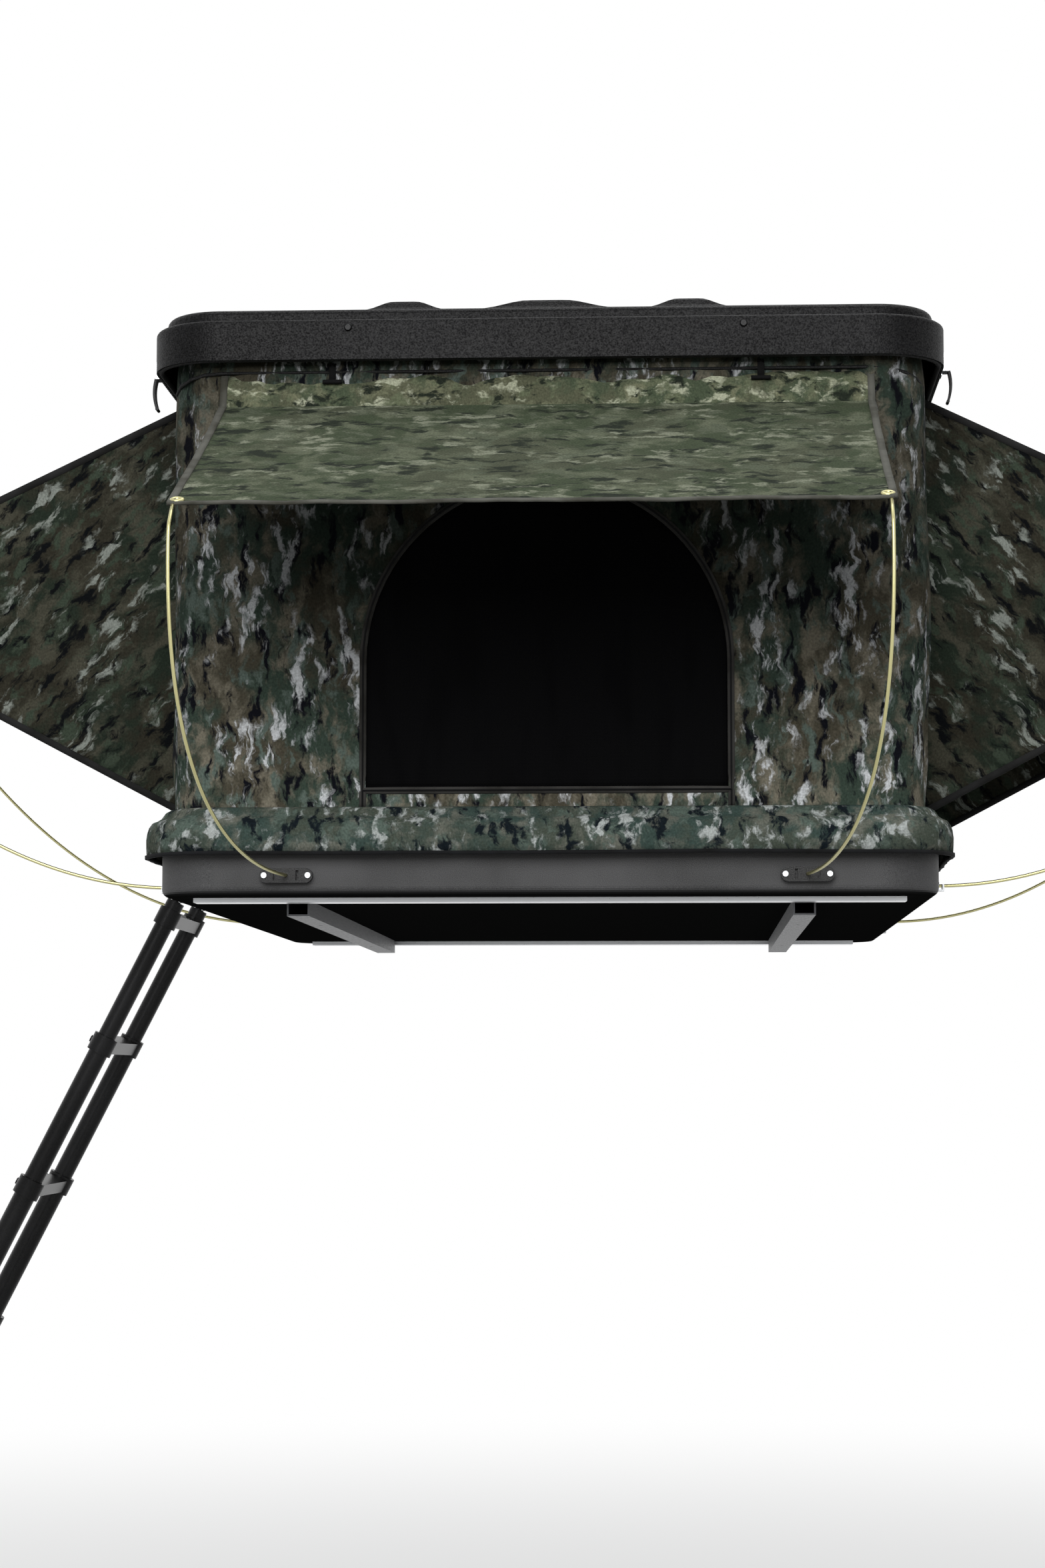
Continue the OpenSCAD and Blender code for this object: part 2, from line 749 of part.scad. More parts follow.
// Top shell: a rim band, a step, a raised top with rounded edges and three ribs
module top_shell() {
    band_c = [shell_p - band_r, band_z - band_r];
    top_c = [top_p - top_r, top_z - top_r];
    section = concat(
        [[shell_p, shell_z]],
        arc(band_c, band_r, 0, 90, 4),
        [[top_p, band_z]],
        arc(top_c, top_r, 0, 90),
        arc(top_c, top_r - shell_t, 90, 0),
        [[top_p - shell_t, band_z - shell_t], [shell_p - shell_t, band_z - shell_t], [shell_p - shell_t, shell_z]]
    );
    color(shell_grey) {
        sweep_round() polygon(section);
        slab(top_p - top_r, top_z - shell_t, top_z);
        rib(rib_mid_w);
        for (x = [-1, 1]) translate([x * rib_at, 0, 0]) rib(rib_side_w);
    }
}

module headliner() {
    color("gray") slab(min(top_p - top_r, wall_p - cloth_t) - face_gap, ceiling_z, top_z - shell_t);
}

// Frame that clamps the walls' upper edge into the shell
module wall_frame() {
    color(alloy) ring(wall_p + gap, top_p - shell_t - gap, frame_z, frame_z + frame_h);
}

module rim_seal() {
    color(black) sweep_round() translate([shell_p - shell_t - gap - seal_r, shell_z + seal_r - 2]) circle(seal_r);
}

// Scissor pivots under the ceiling
module shell_arm_brackets() {
    face = arm_b0 - face_gap;
    color(steel) both_sides() {
        side_plane(face - bracket_t, bracket_t) {
            translate([arm_y - bracket_half, high_z]) square([2 * bracket_half, ceiling_z - high_z]);
            translate([arm_y, high_z]) circle(bracket_half - 4);
        }
        bar_x(face, arm_y, high_z, pin_r, arm_b1 + face_gap + pin_head - face);
        bar_x(arm_b1 + face_gap, arm_y, high_z, pin_r + 3, pin_head);
    }
}

// Tracks for the base arms' rollers, hung from the ceiling at their two ends
module shell_tracks() {
    above = roller_r + track_play;
    hanger_l = 40;
    color(alloy) both_sides() {
        translate([track_x, track_y0, high_z]) rotate([90, 0, 180]) linear_extrude(track_y1 - track_y0)
            track_section(roller_r + face_gap, above, -roller_r - face_gap - track_t, above + track_t);
        for (y = [track_y0, track_y1 - hanger_l]) translate([track_x - track_t, y, high_z + above])
            cube([track_t, hanger_l, ceiling_z - high_z - above]);
    }
}

module shell_screws() {
    head_h = 4;
    color(black) both_ends() for (x = [-1, 1])
        translate([x * screw_at, shell_y, band_z - band_r - screw_r - 1]) rotate([-90, 0, 0])
        cylinder(r1 = screw_r, r2 = screw_r * 0.7, h = head_h);
}

// Latch plates: steel plates on the shell's sides with tall ears and a pin for the lever
module latch_plates() {
    half = latch_w / 2 + ear_gap;
    plate_low = shell_z + 4;
    plate_h = min(band_h - band_r - 6, 46);
    pin_x = shell_x + latch_out;
    ear_r = 8;
    ear_lip = 4;
    ear_top = plate_low + plate_h - ear_lip;
    color(steel) at_latches() {
        translate([shell_x, -half - ear_t, plate_low]) cube([plate_t, 2 * (half + ear_t), plate_h]);
        for (y = [-half - ear_t, half]) translate([0, y + ear_t, 0]) rotate([90, 0, 0]) linear_extrude(ear_t) {
            translate([pin_x, latch_z]) circle(ear_r);
            translate([shell_x, latch_z - ear_r]) square([latch_out, 2 * ear_r]);
            polygon([[shell_x, latch_z], [pin_x + ear_lip, latch_z], [pin_x, ear_top], [shell_x, ear_top]]);
        }
        bar_y(pin_x, 0, latch_z, latch_pin_r, 2 * half);
    }
}

// Latch lever: a knuckle on the pin and a bowed band that ends in a bead
module latch_lever(x, y) {
    half_turn = asin(latch_l / 2 / latch_bow);
    bow_c = [-latch_bow * cos(half_turn), -latch_l / 2];
    out_r = latch_bow + latch_t / 2;
    in_r = latch_bow - latch_t / 2;
    band = concat(arc(bow_c, out_r, half_turn, -half_turn, 12), arc(bow_c, in_r, -half_turn, half_turn, 12));
    color(steel) scale([x, 1, 1]) translate([shell_x + latch_out, y * latch_y + latch_w / 2, latch_z])
        rotate([90, 0, 0]) difference() {
            union() {
                cylinder(r = 6, h = latch_w);
                linear_extrude(latch_w) polygon(band);
                translate([0, -latch_l, 0]) cylinder(r = latch_t * 0.7, h = latch_w);
            }
            translate([0, 0, -1]) cylinder(r = latch_pin_r + pin_fit, h = latch_w + 2);
        }
}

// A flat arm with round ends, its pivot at the origin and its roller end at arm_l
module arm_plan() {
    difference() {
        union() {
            translate([0, -arm_w / 2]) square([arm_l, arm_w]);
            for (x = [0, arm_l]) translate([x, 0]) circle(arm_w / 2);
        }
        circle(pin_r + pin_fit);
    }
}

// Base arm: pivots on the floor and runs in the shell's track
module base_arm() {
    color(steel) {
        side_plane(arm_a0, arm_t) translate([arm_y, low_z]) rotate(open_angle) arm_plan();
        bar_x(arm_a1, roller_open_y, high_z, roller_r, roller_w);
        bar_x(arm_a0 - (arm_gap - gap) / 2, mid_y, mid_z, boss_r, (arm_gap - gap) / 2);
    }
}

// Shell arm: pivots under the ceiling and runs in the floor's track
module shell_arm() {
    color(steel) {
        side_plane(arm_b0, arm_t) translate([arm_y, high_z]) rotate(-open_angle) arm_plan();
        bar_x(arm_b0 - roller_w, roller_open_y, low_z, roller_r, roller_w);
        bar_x(arm_b1, mid_y, mid_z, boss_r, (arm_gap - gap) / 2);
    }
}

// Places a strut piece, drawn along +Z from the foot pin, at its open angle
module strut_place() {
    translate([strut_x, strut_y, low_z]) rotate([strut_angle - 90, 0, 0]) children();
}

module strut_tube() {
    color(black) strut_place() difference() {
        union() {
            cylinder(r = strut_r, h = strut_l);
            translate([-strut_half_eye, 0, 0]) rotate([0, 90, 0]) cylinder(r = strut_eye_r, h = 2 * strut_half_eye);
        }
        translate([-strut_half_eye - strut_r, 0, 0]) rotate([0, 90, 0])
            cylinder(r = strut_pin_r + pin_fit, h = 2 * (strut_half_eye + strut_r));
        translate([0, 0, strut_bore_from]) cylinder(r = strut_rod_r + gap, h = strut_l);
        for (x = [-1, 1]) translate([x * (strut_half_eye + strut_r), 0, 0])
            cube([2 * strut_r, 4 * strut_r, strut_flat], center = true);
    }
}

// Strut rod: its head carries the pin that ends just short of the scissor's middle pivot
module strut_rod() {
    rod_from = strut_l - strut_grip;
    head_half = 6;
    color("silver") strut_place() {
        translate([0, 0, rod_from]) cylinder(r = strut_rod_r, h = strut_open - rod_from);
        translate([-head_half, 0, strut_open]) rotate([0, 90, 0]) cylinder(r = strut_eye_r, h = 2 * head_half);
        translate([0, 0, strut_open]) rotate([0, 90, 0])
            cylinder(r = strut_pin_r, h = arm_b0 - gap - strut_x);
    }
}

// End awning: a steep strip along the root, then a panel that sags a little to its hem
module end_flap() {
    strip_out = end_strip * 0.36;
    sag = 9;
    root = [wall_y + gap, end_root_z];
    fold = root + [strip_out, -end_strip];
    hem = root + [end_flap_out, -end_flap_drop];
    middle = (fold + hem) / 2 - [0, sag];
    section = strip([root, fold, middle, hem], cloth_t);
    color(flap_green) translate([-end_flap_w / 2, 0, 0]) mirror([0, 1, 0]) side_plane(0, end_flap_w)
        polygon(section);
}

// Side awning: one panel with a slight sag
side_hem = [wall_x + gap + side_flap_out, side_root_z - side_flap_drop];
module side_flap() {
    root = [wall_x + gap, side_root_z];
    sag = 8;
    middle = (root + side_hem) / 2 - [0, sag];
    color(olive) translate([0, side_flap_l / 2, 0]) rotate([90, 0, 0]) linear_extrude(side_flap_l)
        polygon(strip([root, middle, side_hem], cloth_t));
}

// Gussets: triangles that close the two ends of a side awning, with a hole for the tuck cord
module side_gussets() {
    foot = [wall_x + gap, seam_z + cloth_t + 3];
    color(olive) both_ends() difference() {
        translate([0, side_flap_l / 2 + gap + cloth_t, 0]) rotate([90, 0, 0])
            linear_extrude(cloth_t) polygon([[wall_x + gap, side_root_z], foot, side_hem]);
        bar_y(corner_x + cord_p, side_flap_l / 2, cord_low, cord_r + 1, 8 * cloth_t);
    }
}

// A sprung rod: straight out of its socket, one sweep up past the hem, then a hook back to the corner
function bezier(a, b, c, d, t) =
    pow(1 - t, 3) * a + 3 * t * pow(1 - t, 2) * b + 3 * t * t * (1 - t) * c + pow(t, 3) * d;
function rod_path(from, out, tip, low, high) =
    let (start = from + rod_lead * out, bend = tip + rod_hook * (out - [0, 0, 1]),
        flat = [bend[0] - start[0], bend[1] - start[1], 0], rise = [0, 0, bend[2] - start[2]])
    concat([from], [for (i = [0 : 12]) bezier(start, start + low * flat, start + high[0] * flat + high[1] * rise,
        bend, i / 12)], [tip]);

module end_rods() {
    tip_y = -(wall_y + gap + end_flap_out + rod_r);
    tip_z = end_root_z - end_flap_drop - rod_r;
    color(brass) for (x = [-1, 1]) {
        from = [x * end_rod_at, -tray_y - socket_d + rod_in - gap, socket_z];
        tip = [x * (end_flap_w / 2 - 2 * rod_r), tip_y, tip_z];
        tube(rod_path(from, [0, -1, 0], tip, 0.62, [1.04, 0.28]), rod_r, 8, [1, 0, 0]);
    }
}

module side_rods() {
    tip_x = side_hem[0] + rod_r;
    tip_z = side_hem[1] - rod_r;
    color(brass) for (y = [-1, 1]) {
        from = [tray_x + socket_d - rod_in + gap, y * side_rod_at, socket_z];
        tip = [tip_x, y * (side_flap_l / 2 - 2 * rod_r), tip_z];
        tube(rod_path(from, [1, 0, 0], tip, 0.36, [0.7, 0.33]), rod_r, 8, [0, 1, 0]);
    }
}

// Toggles: short straps with a cross bar that hold the front awning when it is rolled up
module flap_toggles() {
    strap_w = 12;
    strap_t = 2;
    strap_h = 30;
    bar_r = 4;
    bar_l = 34;
    toggle_at = 375;
    y = -(wall_y + gap + cloth_t + 1 + cord_r * 2 + 4);
    z = end_root_z - strap_h / 3;
    color(black) for (x = [-1, 1]) translate([x * toggle_at, 0, 0]) {
        translate([-strap_w / 2, y - strap_t, z]) cube([strap_w, strap_t, strap_h]);
        bar_x(-bar_l / 2, y - strap_t / 2, z - bar_r / 2, bar_r, bar_l);
        translate([-strap_w / 2, y - strap_t, z + strap_h]) cube([strap_w, -y - wall_y - gap + strap_t, strap_t]);
    }
}

// The ladder's own frame: its pivot at the origin and its rails along -Z
module ladder_place() {
    translate([ladder_x, ladder_y, ladder_z]) rotate([0, ladder_lean, 0]) children();
}

module at_rails() {
    for (y = [-1, 1]) translate([0, y * ladder_w / 2, 0]) children();
}

// Ladder brackets: forked plates on the tray's left side
module ladder_bracket() {
    t = 4;
    inner = ladder_eye_w / 2 + face_gap;
    low = tray_z + tray_edge_r;
    high = ladder_z + ladder_eye_r;
    color(steel) for (y = [-1, 1]) translate([0, ladder_y + y * ladder_w / 2, 0]) {
        translate([-tray_x - t, -inner - t - 10, low]) cube([t, 2 * (inner + t + 10), high - low]);
        for (e = [-inner - t, inner]) translate([0, e + t, 0]) rotate([90, 0, 0]) linear_extrude(t) difference() {
            union() {
                translate([ladder_x, ladder_z]) circle(ladder_eye_r);
                translate([ladder_x, low]) square([ladder_out, high - low]);
            }
            translate([ladder_x, ladder_z]) circle(ladder_pin_r + pin_fit);
        }
    }
}

// Ladder bolts: pivots through the forks and the ladder's eyes
module ladder_bolts() {
    head_h = 5;
    half = ladder_eye_w / 2 + face_gap + 4 + gap;
    color("silver") for (y = [-1, 1]) {
        at = ladder_y + y * ladder_w / 2;
        bar_y(ladder_x, at, ladder_z, ladder_pin_r, 2 * half);
        for (e = [-1, 1]) bar_y(ladder_x, at + e * (half + head_h / 2), ladder_z, ladder_pin_r + 4, head_h);
    }
}

// Two collars for tubes of radius r, joined by a tread, with their tops at the origin
module rung(r) {
    at_rails() translate([0, 0, -collar_h]) cylinder(r = r + collar_t, h = collar_h);
    translate([-tread_d / 2, -ladder_w / 2, -(collar_h + tread_h) / 2]) cube([tread_d, ladder_w, tread_h]);
}

// One ladder section: two tubes in the collars of a rung; the first also has the pivot eyes
module ladder_section(k) {
    r = ladder_r + (k - 1) * ladder_step;
    first = k == 1;
    from = first ? tube_from : (k - 1) * ladder_pitch;
    to = k * ladder_pitch + (k == 7 ? 0 : ladder_overlap);
    cap = first ? 4 : -2;
    color(black) ladder_place() difference() {
        union() {
            at_rails() translate([0, 0, -to]) cylinder(r = r, h = to - from);
            if (first) at_rails() {
                translate([0, 0, -tube_from - 1]) cylinder(r = ladder_eye_w / 2 - 1, h = tube_from + 1);
                bar_y(0, 0, 0, ladder_eye_r, ladder_eye_w);
            }
            translate([0, 0, first ? -tube_from - collar_h / 2 : -from]) rung(r);
        }
        at_rails() translate([0, 0, -to - 1]) cylinder(r = r - ladder_t, h = to - from + 1 - cap);
        if (first) at_rails() bar_y(0, 0, 0, ladder_pin_r + pin_fit, 2 * ladder_eye_w);
    }
}

// Rubber boots on the lowest tubes
module ladder_feet() {
    r = ladder_r + 6 * ladder_step;
    end = 7 * ladder_pitch;
    color("dimgray") ladder_place() at_rails() difference() {
        translate([0, 0, -end - boot_h + boot_grip]) cylinder(r1 = r + 5, r2 = r + 3, h = boot_h);
        translate([0, 0, -end - tube_play]) cylinder(r = r + tube_play, h = boot_h);
    }
}

base_tray();
floor_panel();
mattress();
mount_rails();
cross_members();
rod_sockets();
socket_screws();
latch_keepers();
ladder_bracket();
ladder_bolts();
base_arm_brackets();
base_tracks();
strut_brackets();
skirt();
tent_walls();
window_screens();
window_zips();
door_roll();
tuck_cord();
top_shell();
headliner();
wall_frame();
rim_seal();
shell_arm_brackets();
shell_tracks();
shell_screws();
latch_plates();
latch_lever(-1, -1);  // latch_front_left
latch_lever(1, -1);  // latch_front_right
latch_lever(-1, 1);  // latch_rear_left
latch_lever(1, 1);  // latch_rear_right
mirror([1, 0, 0]) base_arm();  // base_arm_left
base_arm();  // base_arm_right
mirror([1, 0, 0]) shell_arm();  // shell_arm_left
shell_arm();  // shell_arm_right
mirror([1, 0, 0]) strut_tube();  // strut_tube_left
strut_tube();  // strut_tube_right
mirror([1, 0, 0]) strut_rod();  // strut_rod_left
strut_rod();  // strut_rod_right
end_flap();  // front_flap
end_rods();  // front_rods
flap_toggles();
mirror([0, 1, 0]) end_flap();  // rear_flap
mirror([0, 1, 0]) end_rods();  // rear_rods
mirror([1, 0, 0]) side_flap();  // left_flap
mirror([1, 0, 0]) side_gussets();  // left_gussets
mirror([1, 0, 0]) side_rods();  // left_rods
side_flap();  // right_flap
side_gussets();  // right_gussets
side_rods();  // right_rods
ladder_section(1);  // ladder_section_1
ladder_section(2);  // ladder_section_2
ladder_section(3);  // ladder_section_3
ladder_section(4);  // ladder_section_4
ladder_section(5);  // ladder_section_5
ladder_section(6);  // ladder_section_6
ladder_section(7);  // ladder_section_7
ladder_feet();
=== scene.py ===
"""Looks of a roof top tent: cloth, print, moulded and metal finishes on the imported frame."""

import json
import logging
import math
from dataclasses import dataclass
from enum import Enum
from typing import Callable, Sequence

import bmesh
import bpy
from bpy.types import Material, NodeSocket, Object
from mathutils import Euler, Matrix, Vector, noise


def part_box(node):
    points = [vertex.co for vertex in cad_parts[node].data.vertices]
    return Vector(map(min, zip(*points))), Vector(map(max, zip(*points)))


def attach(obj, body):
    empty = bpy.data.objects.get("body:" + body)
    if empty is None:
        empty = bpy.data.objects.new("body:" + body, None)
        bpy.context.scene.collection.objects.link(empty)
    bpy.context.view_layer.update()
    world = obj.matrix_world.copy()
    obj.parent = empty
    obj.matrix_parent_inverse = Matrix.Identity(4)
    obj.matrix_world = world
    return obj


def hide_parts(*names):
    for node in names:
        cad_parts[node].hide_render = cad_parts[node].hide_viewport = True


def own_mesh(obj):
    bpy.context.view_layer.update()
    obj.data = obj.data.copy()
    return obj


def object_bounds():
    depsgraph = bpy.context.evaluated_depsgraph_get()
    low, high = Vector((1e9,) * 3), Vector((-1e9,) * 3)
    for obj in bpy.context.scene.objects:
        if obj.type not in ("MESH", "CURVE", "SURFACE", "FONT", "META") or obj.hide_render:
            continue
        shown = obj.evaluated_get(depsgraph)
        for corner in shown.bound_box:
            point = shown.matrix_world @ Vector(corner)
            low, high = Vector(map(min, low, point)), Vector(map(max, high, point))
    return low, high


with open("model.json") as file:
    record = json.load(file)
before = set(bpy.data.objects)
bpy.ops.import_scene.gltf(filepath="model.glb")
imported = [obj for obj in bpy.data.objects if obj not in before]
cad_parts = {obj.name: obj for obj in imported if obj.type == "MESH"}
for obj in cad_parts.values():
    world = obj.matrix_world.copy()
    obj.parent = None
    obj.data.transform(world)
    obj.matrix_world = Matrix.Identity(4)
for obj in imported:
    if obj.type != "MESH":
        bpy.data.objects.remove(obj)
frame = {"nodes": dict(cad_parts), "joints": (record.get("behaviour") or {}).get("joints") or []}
CAD_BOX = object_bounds()
LIFT = "shell_lift"
LADDER_SECTIONS = 7
ACROSS, ALONG, UP = (1, 0, 0), (0, 1, 0), (0, 0, 1)
# Depth in mm of a pattern on a cloth map, which is flat: any depth gives the same.
FLAT = 100.0
# Range that the values of a cloudy pattern mostly keep to.
CLOUDS = {"From Min": 0.3, "From Max": 0.7}
# Width in metres that a swept section takes on the cloth map.
SWEPT_WIDTH = 0.02

log = logging.getLogger("roof_top_tent")

Point = Sequence[float]
Knot = tuple[Point, Point] | tuple[Point, Point, bool]


class End(Enum):
    """The tent's two ends, as the sign of their Y."""

    FRONT = -1
    REAR = 1


class Side(Enum):
    """The tent's two sides, as the sign of their X."""

    LEFT = -1
    RIGHT = 1


def linear(code: str) -> tuple[float, ...]:
    """Returns: the linear red, green, blue and opaque alpha of an sRGB colour such as #ffffff."""
    channels = [int(code[i : i + 2], 16) / 255 for i in (1, 3, 5)]
    return (*(c / 12.92 if c <= 0.04045 else ((c + 0.055) / 1.055) ** 2.4 for c in channels), 1.0)


def smooth(value: float, low: float, high: float) -> float:
    """Returns: a share that eases from 0 at low to 1 at high."""
    t = min(1.0, max(0.0, (value - low) / (high - low)))
    return t * t * (3 - 2 * t)


def circle(radius: float, steps: int) -> list[tuple[float, float]]:
    """Returns: points on a circle."""
    turn = 2 * math.pi / steps
    return [(radius * math.cos(turn * i), radius * math.sin(turn * i)) for i in range(steps)]


def strip(across: float, up: float, lift: float = 0.0) -> list[tuple[float, float]]:
    """Returns: the section of a flat tape, from its half width, its half height and its lift."""
    return [(-across, lift - up), (across, lift - up), (across, lift + up), (-across, lift + up)]


@dataclass(frozen=True)
class Folds:
    """Folds of slack cloth, drawn from a noise field.

    Args:
        step: steps of the field along each axis.
        depth: how far the folds stand out at most.
    """

    step: tuple[float, float, float]
    depth: float

    def at(self, x: float, y: float, z: float = 1.0) -> float:
        """Returns: how far the folds stand out at a place."""
        return noise.noise(Vector((x * self.step[0], y * self.step[1], z * self.step[2]))) * self.depth


class Graph:
    """The shader nodes of one material or of the world."""

    def __init__(self, name: str, kind: str = "materials") -> None:
        """Starts an empty graph.

        Args:
            name: name of the material or world.
            kind: Blender's collection that it goes into.
        """
        self.owner = getattr(bpy.data, kind).new(name)
        self.owner.use_nodes = True
        self.tree = self.owner.node_tree
        self.tree.nodes.clear()

    def add(
        self, kind: str, inputs: dict | None = None, out: int | str = 0, **settings: object
    ) -> NodeSocket | None:
        """Adds a node with its settings and links.

        Args:
            kind: Blender's name of the node type, after ShaderNode.
            inputs: value or source socket of each input that isn't at its default.
            out: which output is handed back.
            settings: the node's own properties.

        Returns:
            The output, or nothing where the node has none.
        """
        node = self.tree.nodes.new(f"ShaderNode{kind}")
        for key, value in settings.items():
            setattr(node, key, value)
        for key, value in (inputs or {}).items():
            if isinstance(value, NodeSocket):
                self.tree.links.new(value, node.inputs[key])
            else:
                node.inputs[key].default_value = value
        return node.outputs[out] if node.outputs else None

    def grain(
        self, vector: NodeSocket, size_mm: Point, detail: float, at: Point = (0, 0, 0), rough: float = 0.5
    ) -> NodeSocket:
        """Lays a cloudy pattern of a real size.

        Args:
            vector: coordinates in metres.
            size_mm: size of its clouds along each axis.
            detail: octaves of finer clouds.
            at: where in the pattern to start.
            rough: strength of the finer clouds.

        Returns:
            The pattern's value, from 0 to 1.
        """
        scale = [1000 / s for s in size_mm]
        place = self.add("Mapping", {"Vector": vector, "Scale": scale, "Location": at})
        return self.add("TexNoise", {"Vector": place, "Scale": 1.0, "Detail": detail, "Roughness": rough})

    def patch(
        self, value: NodeSocket, levels: Point, base: object, other: object, blend: str = "MIX"
    ) -> NodeSocket:
        """Lets a second colour show over a first.

        Args:
            value: the pattern that it follows.
            levels: values where the second colour starts and where it is full.
            base: first colour, as numbers or a socket.
            other: second colour, as numbers or a socket.
            blend: how the two are mixed.

        Returns:
            The colour.
        """
        limits = {"Value": value, "From Min": levels[0], "From Max": levels[1]}
        share = self.add("MapRange", limits, interpolation_type="SMOOTHSTEP")
        return self.add("Mix", {0: share, 6: base, 7: other}, 2, data_type="RGBA", blend_type=blend)

    def surface(self, inputs: dict, height: NodeSocket, depth_mm: float) -> Material:
        """Closes the graph with a surface in relief.

        Args:
            inputs: inputs of the principled surface.
            height: its relief.
            depth_mm: depth of the relief.

        Returns:
            The finished material.
        """
        relief = self.add("Bump", {"Height": height, "Distance": depth_mm / 1000, "Strength": 1.0})
        shader = self.add("BsdfPrincipled", {**inputs, "Normal": relief})
        self.add("OutputMaterial", {"Surface": shader})
        return self.owner

    def seen(self) -> NodeSocket:
        """Returns: a value of 1 where the camera looks, straight or by way of metal and glass."""
        most = self.add("LightPath", out="Is Camera Ray")
        for ray in ("Is Glossy Ray", "Is Transmission Ray"):
            most = self.add("Math", {0: most, 1: self.add("LightPath", out=ray)}, operation="MAXIMUM")
        return most


@dataclass(frozen=True)
class CamouflageCanvas:
    """Polyester canvas, woven and printed.

    Its print has soft grounds under blotches, dark streaks and crowds of pale flecks.

    Args:
        name: material name.
        grounds: the two ground colours.
        blotches: the two colours of the middle blotches.
        dark: colour of the dark streaks.
        pale: colour of the pale flecks.
        fleck_mm: width and length of a fleck; the other motifs follow from it.
        turn: direction of the print in degrees.
        crowd: level above which flecks crowd together.
        start: where in the print the piece was cut.
        painted_foot_light: how much lighter the cloth's foot is painted than its top, painted light
            standing in for the shade that the awnings cast higher up.
        shaded: heights between which that painted light fades out upwards.
        drift_mm: size of the waves in the motifs' edges.
        wander: how far those waves reach, in metres.
        weave_mm: size of the weave, coarser than real threads so that it shows.
        edge_detail: octaves of finer forms in the motifs' edges.
        edge_rough: strength of those finer forms.
        fibre_mm: width and length of the threads' uneven tone, coarser than real so that it shows.
        fibre_tone: darkest and lightest tone of the threads.
    """

    name: str
    grounds: tuple[str, str]
    blotches: tuple[str, str]
    dark: str
    pale: str
    fleck_mm: tuple[float, float] = (26.0, 78.0)
    turn: float = 0.0
    crowd: float = 0.5
    start: tuple[float, float, float] = (0.0, 0.0, 0.0)
    painted_foot_light: float = 1.0
    shaded: tuple[float, float] = (0.17, 0.62)
    drift_mm: float = 45.4545
    wander: float = 0.035
    weave_mm: float = 2.2
    edge_detail: float = 7.0
    edge_rough: float = 0.62
    fibre_mm: tuple[float, float] = (3.5, 4.5)
    fibre_tone: tuple[float, float] = (0.72, 1.28)

    def motif(
        self, g: Graph, uv: NodeSocket, grow: Point, seed: float, level: float, edge: float
    ) -> NodeSocket:
        """Makes one motif of the print.

        Args:
            g: graph of the material.
            uv: cloth coordinates in metres.
            grow: size of the motif, in flecks.
            seed: place in the pattern.
            level: value where the motif starts.
            edge: width of its soft edge, as a value.

        Returns:
            The motif's share of the print.
        """
        size = (self.fleck_mm[0] * grow[0], self.fleck_mm[1] * grow[1], FLAT)
        place = [at + seed for at in self.start]
        value = g.grain(uv, size, self.edge_detail, place, self.edge_rough)
        limits = {"Value": value, "From Min": level, "From Max": level + edge}
        return g.add("MapRange", limits, interpolation_type="SMOOTHSTEP")

    def material(self) -> Material:
        """Returns: the canvas, read from the piece's cloth map in metres."""
        g = Graph(self.name)
        flat = g.add("UVMap", uv_map="cloth")
        turned = g.add("Mapping", {"Vector": flat, "Rotation": (0, 0, math.radians(self.turn))})
        drift = g.add("TexNoise", {"Vector": turned, "Scale": 1000 / self.drift_mm, "Detail": 3.0}, 1)
        shift = g.add("VectorMath", {0: drift, 1: (0.5, 0.5, 0.5)}, operation="SUBTRACT")
        small = g.add("VectorMath", {0: shift, 3: self.wander}, operation="SCALE")
        uv = g.add("VectorMath", {0: turned, 1: small})
        color = linear(self.grounds[0])
        # Each ink, with its motif's size in flecks, seed, level and soft edge.
        inks = (
            (self.grounds[1], (9, 4), 0, 0.44, 0.1),
            (self.blotches[0], (2.4, 1.5), 7, 0.47, 0.16),
            (self.blotches[1], (1.7, 1.2), 13, 0.52, 0.1),
            (self.dark, (1.3, 1.4), 19, 0.52, 0.09),
        )
        for ink, *motif in inks:
            share = self.motif(g, uv, *motif)
            color = g.add("Mix", {0: share, 6: color, 7: linear(ink)}, 2, data_type="RGBA")
        crowd = self.motif(g, uv, (3.8, 2.8), 29, self.crowd - 0.05, 0.09)
        # Flecks show where they crowd together, faint at their edges and strong in their middles.
        for level, strength in ((0.5, 0.35), (0.535, 0.9)):
            fleck = self.motif(g, uv, (1, 1), 37, level, 0.045)
            shown = g.add("Math", {0: fleck, 1: crowd}, operation="MULTIPLY")
            share = g.add("Math", {0: shown, 1: strength}, operation="MULTIPLY")
            color = g.add("Mix", {0: share, 6: color, 7: linear(self.pale)}, 2, data_type="RGBA")
        fibre = g.grain(flat, (*self.fibre_mm, FLAT), 4)
        darkest, lightest = self.fibre_tone
        tone = g.add("MapRange", {"Value": fibre, **CLOUDS, "To Min": darkest, "To Max": lightest})
        color = g.add("Mix", {0: 1.0, 6: color, 7: tone}, 2, data_type="RGBA", blend_type="MULTIPLY")
        # Painted light: the cloth is painted lighter towards its foot and stays darker higher up, where the
        # awnings' shade falls.
        if self.painted_foot_light > 1:
            painted_light = (self.painted_foot_light, self.painted_foot_light, self.painted_foot_light, 1.0)
            pale = g.add("Mix", {0: 1.0, 6: color, 7: painted_light}, 2, data_type="RGBA", blend_type="MULTIPLY")
            color = g.patch(g.add("SeparateXYZ", {0: flat}, 1), self.shaded[::-1], color, pale)
        weave = g.grain(flat, (self.weave_mm, self.weave_mm, FLAT), 2)
        return g.surface({"Base Color": color, "Roughness": 0.9, "Specular IOR Level": 0.06}, weave, 0.5)


